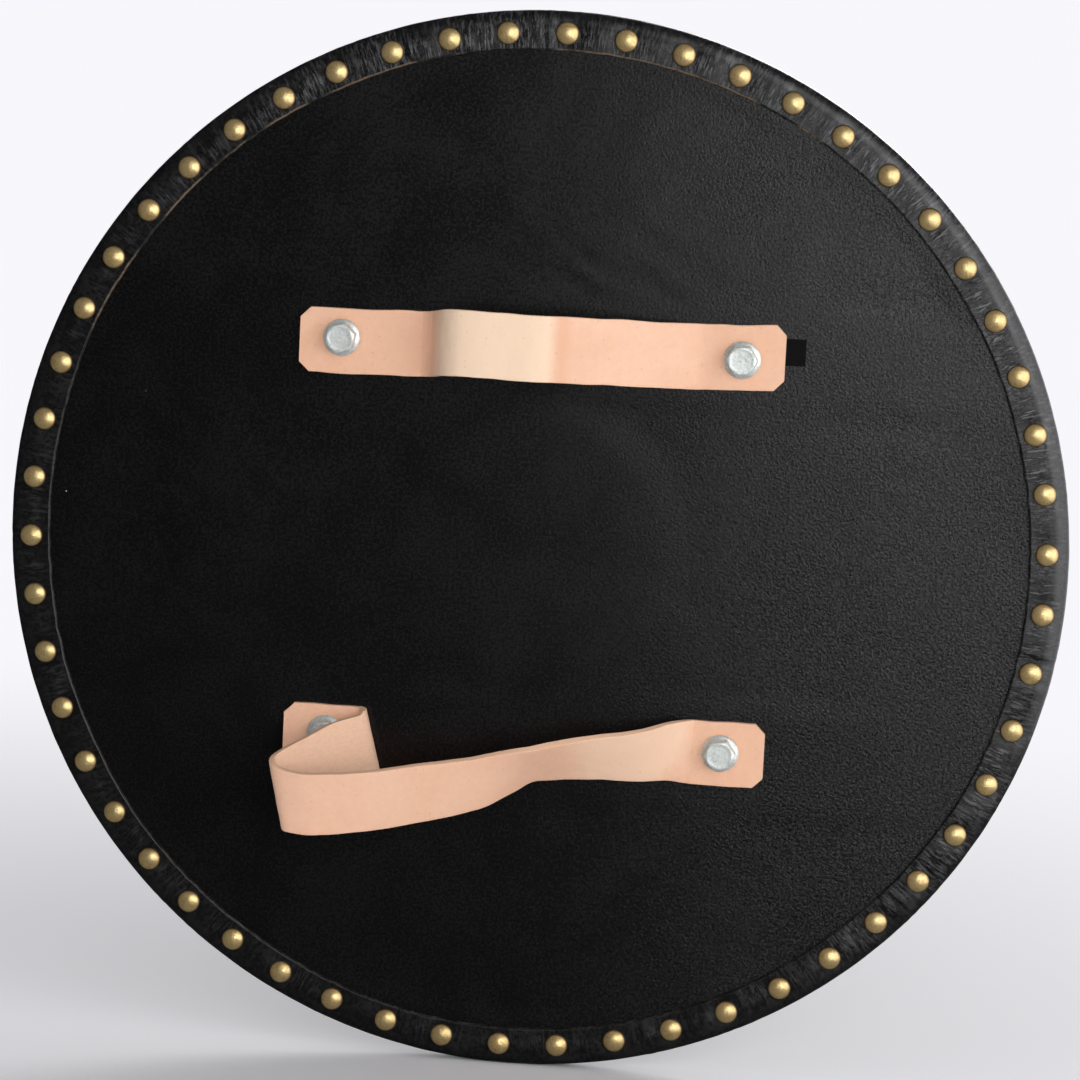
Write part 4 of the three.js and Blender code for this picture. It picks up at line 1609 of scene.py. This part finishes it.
@dataclass
class ArmLoop(Strap):
    """The arm strap: folded back over its left bolt, curved round again and twisted down."""

    line: float = -96.7
    landing: float = -93.8
    left_overhang: float = 20.5
    right_overhang: float = 21.0
    folded_down: float = 0.06
    landed_down: float = 0.015
    drop: float = 27.0
    depth: float = 54.5
    fold_radius: float = 4.3
    fold_start: float = -0.81
    fold_lean: float = 15.0
    fold_angles: tuple = (0, 36, 72, 108, 144)
    free: tuple = ((-0.895, 0.19, 0.25, 15, 2), (-1.006, 0.44, 0.435, 13.5, 4),
                   (-1.104, 0.7, 0.605, 12, 6), (-1.146, 0.86, 0.735, 12, 8),
                   (-1.131, 0.965, 0.83, 10, 10), (-1.034, 1, 0.9, 5, 12.5),
                   (-0.855, 0.935, 0.89, -2, 14), (-0.65, 0.826, 0.8, -5, 15.5),
                   (-0.363, 0.673, 0.62, -6.5, 20.5), (-0.162, 0.564, 0.46, -7, 27.5),
                   (-0.015, 0.478, 0.268, -7.5, 40), (0.09, 0.417, 0.12, -8, 49),
                   (0.246, 0.325, 0.03, -7, 45.5), (0.408, 0.225, -0.015, -5, 40),
                   (0.609, 0.085, -0.05, -2, 31))
    landed: tuple = ((0.745, 0.09, 0.005, 0, 19.5), (0.82, 0.024, 0.005, 0, 6), (0.857, 0, 0.012, 0, 0),
                     (0.895, 0, 0.015, 0, 0))
    seed: int = 60
    # Here the pale stretch is partly real paleness and partly painted light over the shade beside the right
    # bolt.
    pale_and_painted_light: tuple = (18.0, 40.0, 80.0, 95.0)
    paler_and_painted_light: float = 0.5
    crease: float = 0.0

    def rulers(self) -> list:
        """A flat end, a fold rolled about a leaning line, the free loop and a flat landing.

        Returns:
            The rulers, one row each.
        """
        left, right = self.left_bolt - self.left_overhang, self.right_bolt + self.right_overhang
        left_line = self.line - self.drop * self.folded_down
        right_line = self.landing - self.drop * self.landed_down
        made = [self.ruler(left, 0, left_line, width=self.end_width),
                self.ruler(left + self.corner, 0, left_line),
                self.ruler(self.left_bolt, 0, left_line, self.fold_lean / 4),
                self.ruler(self.along_span(-0.89), 0, left_line, self.fold_lean / 2)]
        lean, start = math.radians(self.fold_lean), self.along_span(self.fold_start)
        for degrees in self.fold_angles:
            turn = math.radians(degrees)
            forward, creep = self.fold_radius * math.sin(turn), self.fold_radius * turn * math.tan(lean)
            made.append(self.ruler(start + forward * math.cos(lean) + creep * math.sin(lean),
                                   self.fold_radius * (1 - math.cos(turn)),
                                   left_line + forward * math.sin(lean) - creep * math.cos(lean),
                                   self.fold_lean))
        double = 2 * self.fold_radius
        for share, out, down, bend, tilt in self.free:
            made.append(self.ruler(self.along_span(share), double + (self.depth - double) * out,
                                   self.line - self.drop * down, bend, tilt))
        for share, out, down, bend, tilt in self.landed:
            made.append(self.ruler(self.along_span(share), self.depth * out, self.landing - self.drop * down,
                                   bend, tilt))
        made.append(self.ruler(right - self.corner, 0, right_line))
        made.append(self.ruler(right, 0, right_line, width=self.end_width))
        return made

    def bolt_places(self) -> tuple:
        """The left bolt is under the fold, and the right one holds the landing."""
        return (self.left_bolt, self.line), (self.right_bolt, self.landing)


# The fastenings


@dataclass
class FlangeBolt:
    """A flange bolt with a plain dished top."""

    number: int
    x: float
    z: float
    turn: float
    seat: float = -3.0
    flats: float = 13.0
    head: float = 8.0
    flange: float = 8.95
    flange_edge: float = 1.1
    flange_rise: float = 2.4
    shank: float = 4.0
    length: float = 16.0
    dish: float = 0.12
    columns: int = 120

    def build(self, finish: bpy.types.Material) -> bpy.types.Object:
        """One lathe whose radius round the hexagon is (flats / 2) / (sum of cos^48)^(1/48).

        The sum is over the six flats, which rounds the corners. Rows run from the dished top over
        the chamfer, down the hexagon, out over the coned flange and in to the shank's tip.

        Args:
            finish: its plating.

        Returns:
            The bolt.
        """
        angle = circle(self.columns)
        flat = np.radians(self.turn + 30) + np.arange(6) * np.pi / 3
        facing = np.maximum(np.cos(angle[:, None] - flat), 0) ** 48
        hexagon = self.flats / 2 / facing.sum(1) ** (1 / 48)
        # The dished top and the chamfer
        top = self.seat - self.head
        rows = [(0 * angle, top + self.dish + 0 * angle)]
        for share in (0.3, 0.6, 0.76, 0.82, 0.88):
            sunk = self.dish * (1 - float(ease(0.74, 0.88, np.array(share))))
            rows.append((share * self.flats / 2 + 0 * angle, top + sunk + 0 * angle))
        for share in (0.92, 0.95, 0.975, 1.0):
            radius = hexagon * share
            slope = np.maximum(radius - self.flats / 2 * 0.97, 0) * 0.58
            rows.append((radius, top + slope + (0.10 if share == 1.0 else 0)))
        # The six sides and the cone of the flange
        edge = rows[-1][1]
        cone = self.seat - self.flange_rise
        reach = self.flange - self.flats / 2
        for share in (0.08, 0.5, 0.9):
            rows.append((hexagon + 0.06, edge + (cone - edge) * share))
        foot = self.seat - self.flange_edge
        for share in (0.06, 0.3, 0.6, 0.86):
            radius = hexagon + 0.25 + (self.flange - 0.35 - hexagon - 0.25) * share
            sloped = np.clip((radius - self.flats / 2) / reach, 0, 1)
            rows.append((radius, cone + (foot - cone) * sloped + 0.05))
        # The flange's edge and the shank
        for radius, along in ((self.flange - 0.25, foot + 0.05), (self.flange, foot + 0.35),
                              (self.flange, self.seat - 0.25), (self.flange - 0.25, self.seat),
                              (self.shank, self.seat), (self.shank, self.seat + self.length - 0.9),
                              (self.shank - 0.9, self.seat + self.length), (0, self.seat + self.length)):
            rows.append((radius + 0 * angle, along + 0 * angle))
        radius, along = (np.stack([row[k] for row in rows]) for k in range(2))
        points, faces = lathe(radius, along, angle)
        points = points + np.array([self.x, 0, self.z])
        name = f"flange_bolt_{self.number}"
        return make_piece(name, points, faces, finish, (f"strap_bolt_{self.number}",), sharp=28)


@dataclass
class Boss:
    """The spun brass boss on the front and its ring of nails."""

    radius: float = 56.0
    dome: float = 41.0
    height: float = 24.0
    thickness: float = 1.2
    roll: float = 1.6
    base: float = 15.2
    nail_ring: float = 49.5
    nail_count: int = 12
    nail_radius: float = 3.6
    nail_dome: float = 1.9
    ridges: tuple = ((78.0, 1.6), (66.0, 1.2))
    ridge_height: float = 0.35
    beat: float = 0.10
    nail_lean: float = 0.015
    nail_sink: float = 0.3
    columns: int = 192

    def shell(self, finish: bpy.types.Material) -> bpy.types.Object:
        """A hollow cap: a sphere's cap of (a^2 + h^2) / 2h radius, a rolled foot and a flat flange.

        Args:
            finish: its brass.

        Returns:
            The boss.
        """
        outer = (self.dome ** 2 + self.height ** 2) / (2 * self.height)
        inner = outer - self.thickness
        centre = self.base + self.height - outer
        top = self.base + self.thickness
        outer_foot = math.asin((top - centre) / outer)
        inner_foot = math.asin((self.base - centre) / inner)
        rise = np.linspace(math.pi / 2, outer_foot, 40)
        ridge = self.ridge_height * sum(hump(np.degrees(rise) - at, width) for at, width in self.ridges)
        profile = list(zip(((outer + ridge) * np.cos(rise)), centre + (outer + ridge) * np.sin(rise)))
        foot = profile[-1][0]
        profile += [(foot + 1.2, top - 0.1), (44.5, top), (self.radius - self.roll - 0.8, top),
                    (self.radius - self.roll, top + 0.15), (self.radius - self.roll * 0.75, top + 0.55),
                    (self.radius - self.roll / 2, top + self.roll / 2), (self.radius - 0.35, top + 0.6),
                    (self.radius, top), (self.radius, self.base + 0.1), (self.radius - 0.3, self.base)]
        back = np.linspace(inner_foot, math.pi / 2, 20)
        profile += list(zip(inner * np.cos(back), centre + inner * np.sin(back)))
        profile = np.array(profile)
        angle = circle(self.columns)
        radius = np.repeat(profile[:, :1], self.columns, 1)
        along = np.repeat(profile[:, 1:], self.columns, 1)
        beat = self.beat * field_noise(radius * np.sin(angle), radius * np.cos(angle), 71, 11.0)
        along = along + beat * ease(0, 12, radius) * ease(41, 36, radius) * (along > self.base + 3)
        points, faces = lathe(radius, along, angle)
        rise = np.clip((points[:, 1] - self.base) / 6 + 0.25, 0, 1)
        return make_piece("boss_shell", points, faces, finish, ("centre_boss",), {"rise": rise},
                          sharp=35)

    def nails(self, finish: bpy.types.Material) -> bpy.types.Object:
        """Twelve nail heads on the flange.

        Args:
            finish: their brass.

        Returns:
            The twelve nails as one piece.
        """
        angle = circle(self.nail_count, 0.5)
        places = self.nail_ring * np.stack([np.sin(angle), np.cos(angle)], -1)
        turns = np.random.default_rng(8).normal(0, self.nail_lean, (self.nail_count, 2))
        points, faces, rise = many_domes(places, self.nail_radius, self.nail_dome, self.base + self.thickness,
                                         Side.FRONT, 28, 7, self.nail_sink, turns)
        nodes = tuple(f"boss_nail_{k + 1:02d}" for k in range(self.nail_count))
        return make_piece("boss_nails", points, faces, finish, nodes, {"rise": rise})


# The studio


@dataclass
class Studio:
    """Camera, pale floor, bright world, soft lamps and black cards. Lengths are metres here."""

    place: tuple = (0.1564, -1.700, 0.2210)
    aim: tuple = (0.0032345, 0.0, 0.0035969)
    roll: float = 0.050
    lens: float = 119.52
    floor_height: float = -0.2555
    floor_reach: float = 30.0
    floor_fade: tuple = (0.30, 1.3)
    floor_colour: tuple = (0.93, 0.93, 0.95, 1)
    flag_lift: float = 0.0006
    flag_top: float = 2.4
    flag_reach: tuple = (3.4, 3.3)
    flag_gap: tuple = (0.3, 0.6)
    white: tuple = (0.935, 0.93, 0.965, 1)
    fill: float = 0.40
    lamps: tuple = (("window", (1.38, -1.25, 0.34), 1.5, 16.5, Rays.GLOSSY),
                    ("front", (0.35, -2.5, 0.40), 1.4, 22, Rays.GLOSSY),
                    ("window_card", (1.38, -1.25, 0.34), 1.1, 27, Rays.MATT),
                    ("front_card", (0.60, -2.5, 0.20), 1.1, 8, Rays.MATT),
                    ("behind", (0.9, 2.4, 1.6), 1.6, 40))

    def camera(self) -> None:
        """A camera that looks from place to aim, rolled about that line."""
        data = bpy.data.cameras.new("camera")
        data.lens, data.sensor_width, data.sensor_fit = self.lens, 36.0, "HORIZONTAL"
        data.clip_start, data.clip_end = 0.05, 60.0
        ahead = (Vector(self.aim) - Vector(self.place)).normalized()
        right = ahead.cross(Vector((0, 0, 1))).normalized()
        up = right.cross(ahead)
        right_turned = math.cos(self.roll) * right + math.sin(self.roll) * up
        up_turned = math.cos(self.roll) * up - math.sin(self.roll) * right
        turn = Matrix((right_turned, up_turned, -ahead)).transposed().to_4x4()
        camera = add_object("camera", data)
        camera.matrix_world = Matrix.Translation(self.place) @ turn
        bpy.context.scene.camera = camera

    def floor(self) -> None:
        """A plain floor, pale near the targe and shining white far from it so that no edge shows."""
        mesh = bpy.data.meshes.new("floor")
        corners = [(x * self.floor_reach, y * self.floor_reach, self.floor_height)
                   for x, y in ((-1, -1), (1, -1), (1, 1), (-1, 1))]
        mesh.from_pydata(corners, [], [(0, 1, 2, 3)])
        add_object("floor", mesh)
        material, tree, shader = new_material("floor")
        away = tree.vector("LENGTH", {0: tree.get("TexCoord", "Object")}, "Value")
        shining = away.span(*self.floor_fade) * tree.seen()
        shader.inputs["Base Color"].default_value = self.floor_colour
        shader.inputs["Roughness"].default_value = 0.9
        white = tree.get("Emission", 0, {"Color": self.white, "Strength": 1.0})
        mixed = tree.get("MixShader", 0, {0: shining, 1: Value(tree, shader.outputs[0]), 2: white})
        tree.feed(material.node_tree.nodes["Material Output"].inputs["Surface"], mixed)
        mesh.materials.append(material)

    def world(self) -> None:
        """White to the camera, to gloss and through glass, and a plain grey fill light otherwise."""
        world = bpy.data.worlds.new("studio")
        bpy.context.scene.world = world
        world.use_nodes = True
        tree = Tree(world.node_tree)
        seen = tree.seen().most(tree.get("LightPath", "Is Transmission Ray"))
        back = world.node_tree.nodes["Background"]
        back.inputs["Color"].default_value = self.white
        tree.feed(back.inputs["Strength"], seen.most(self.fill))

    def flag(self) -> None:
        """Black cards that only gloss sees, as black leather needs: all round but for the right side."""
        mesh = bpy.data.meshes.new("flag")
        low, high = self.floor_height + self.flag_lift, self.flag_top
        wide, deep = self.flag_reach
        near, right = self.flag_gap
        ring = ((-wide, deep), (near, deep), (near, -deep), (-wide, -deep))
        corners = [(x, y, z) for z in (low, high) for x, y in ring]
        corners += [(right, deep, low), (right, -deep, low), (wide, deep, high), (wide, -deep, high)]
        below, above = (0, 8, 9, 3), (4, 10, 11, 7)
        by_camera, by_left, by_back = (3, 2, 6, 7), (0, 3, 7, 4), (0, 1, 5, 4)
        mesh.from_pydata(corners, [], [below, by_camera, above, by_left, by_back])
        card = add_object("flag", mesh)
        for ray in ("camera", "diffuse", "transmission", "volume_scatter", "shadow"):
            setattr(card, "visible_" + ray, False)
        material, _, shader = new_material("flag_cloth")
        shader.inputs["Base Color"].default_value = (0.01, 0.01, 0.01, 1)
        shader.inputs["Roughness"].default_value = 1.0
        mesh.materials.append(material)

    def lamp(self, name: str, place: tuple, size: float, power: float, unseen: Rays = None) -> None:
        """A square soft light that faces the targe.

        Args:
            name: the lamp's name.
            place: where it stands, in metres.
            size: its side in metres.
            power: its power in watts.
            unseen: the looks that it is hidden from, if any.
        """
        data = bpy.data.lights.new(name, "AREA")
        data.shape, data.size, data.energy = "SQUARE", size, power
        light = add_object(name, data)
        light.location = place
        light.rotation_euler = (-Vector(place)).to_track_quat("-Z", "Y").to_euler()
        if unseen:
            setattr(light, "visible_" + unseen.value, False)

    def build(self) -> None:
        """Sets the whole studio up."""
        self.camera()
        self.floor()
        self.world()
        self.flag()
        for lamp in self.lamps:
            self.lamp(*lamp)
        bpy.context.scene.view_settings.view_transform = "Standard"


def dress_hidden(finishes: Finishes) -> None:
    """Gives the board's plies and the tee nuts, which keep their solids, their finishes.

    Args:
        finishes: the targe's finishes.
    """
    for node, finish in (("core_front_ply", finishes.board), ("core_back_ply", finishes.board),
                         *((f"tee_nut_{k}", finishes.zinc) for k in (1, 2, 3, 4))):
        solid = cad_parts[node]
        solid.data.materials.clear()
        solid.data.materials.append(finish)


def main() -> None:
    """Builds the targe piece by piece."""
    logging.basicConfig(level=logging.INFO, format="%(message)s")
    Studio().build()
    finishes = Finishes.build()
    dress_hidden(finishes)
    facing = Facing()
    made = [facing.skin(finishes.black), *facing.nails(finishes.nail_brass), Lining().build(finishes.lining)]
    upper = Tab("tab_upper", 110.6, 125.1, 100.3, "woven_tab_upper")
    lower = Tab("tab_lower", -126.4, -111.9, -100.1, "woven_tab_lower")
    made += [upper.build(finishes.tape), lower.build(finishes.tape)]
    made.append(Grip().build("grip", "grip_strap", upper, finishes.strap))
    made.append(ArmLoop().build("arm_loop", "arm_strap", lower, finishes.strap))
    bolts = ((1, -96.4, 95.6, 12), (2, 95.3, 95.6, 28), (3, -96.4, -96.7, 16), (4, 95.3, -93.8, 23))
    made += [FlangeBolt(*bolt).build(finishes.zinc) for bolt in bolts]
    boss = Boss()
    made += [boss.shell(finishes.boss_brass), boss.nails(finishes.nail_brass)]
    for piece in made:
        log.info("%s: %d points, %d faces", piece.name, len(piece.data.vertices), len(piece.data.polygons))


if __name__ == "__main__":
    main()
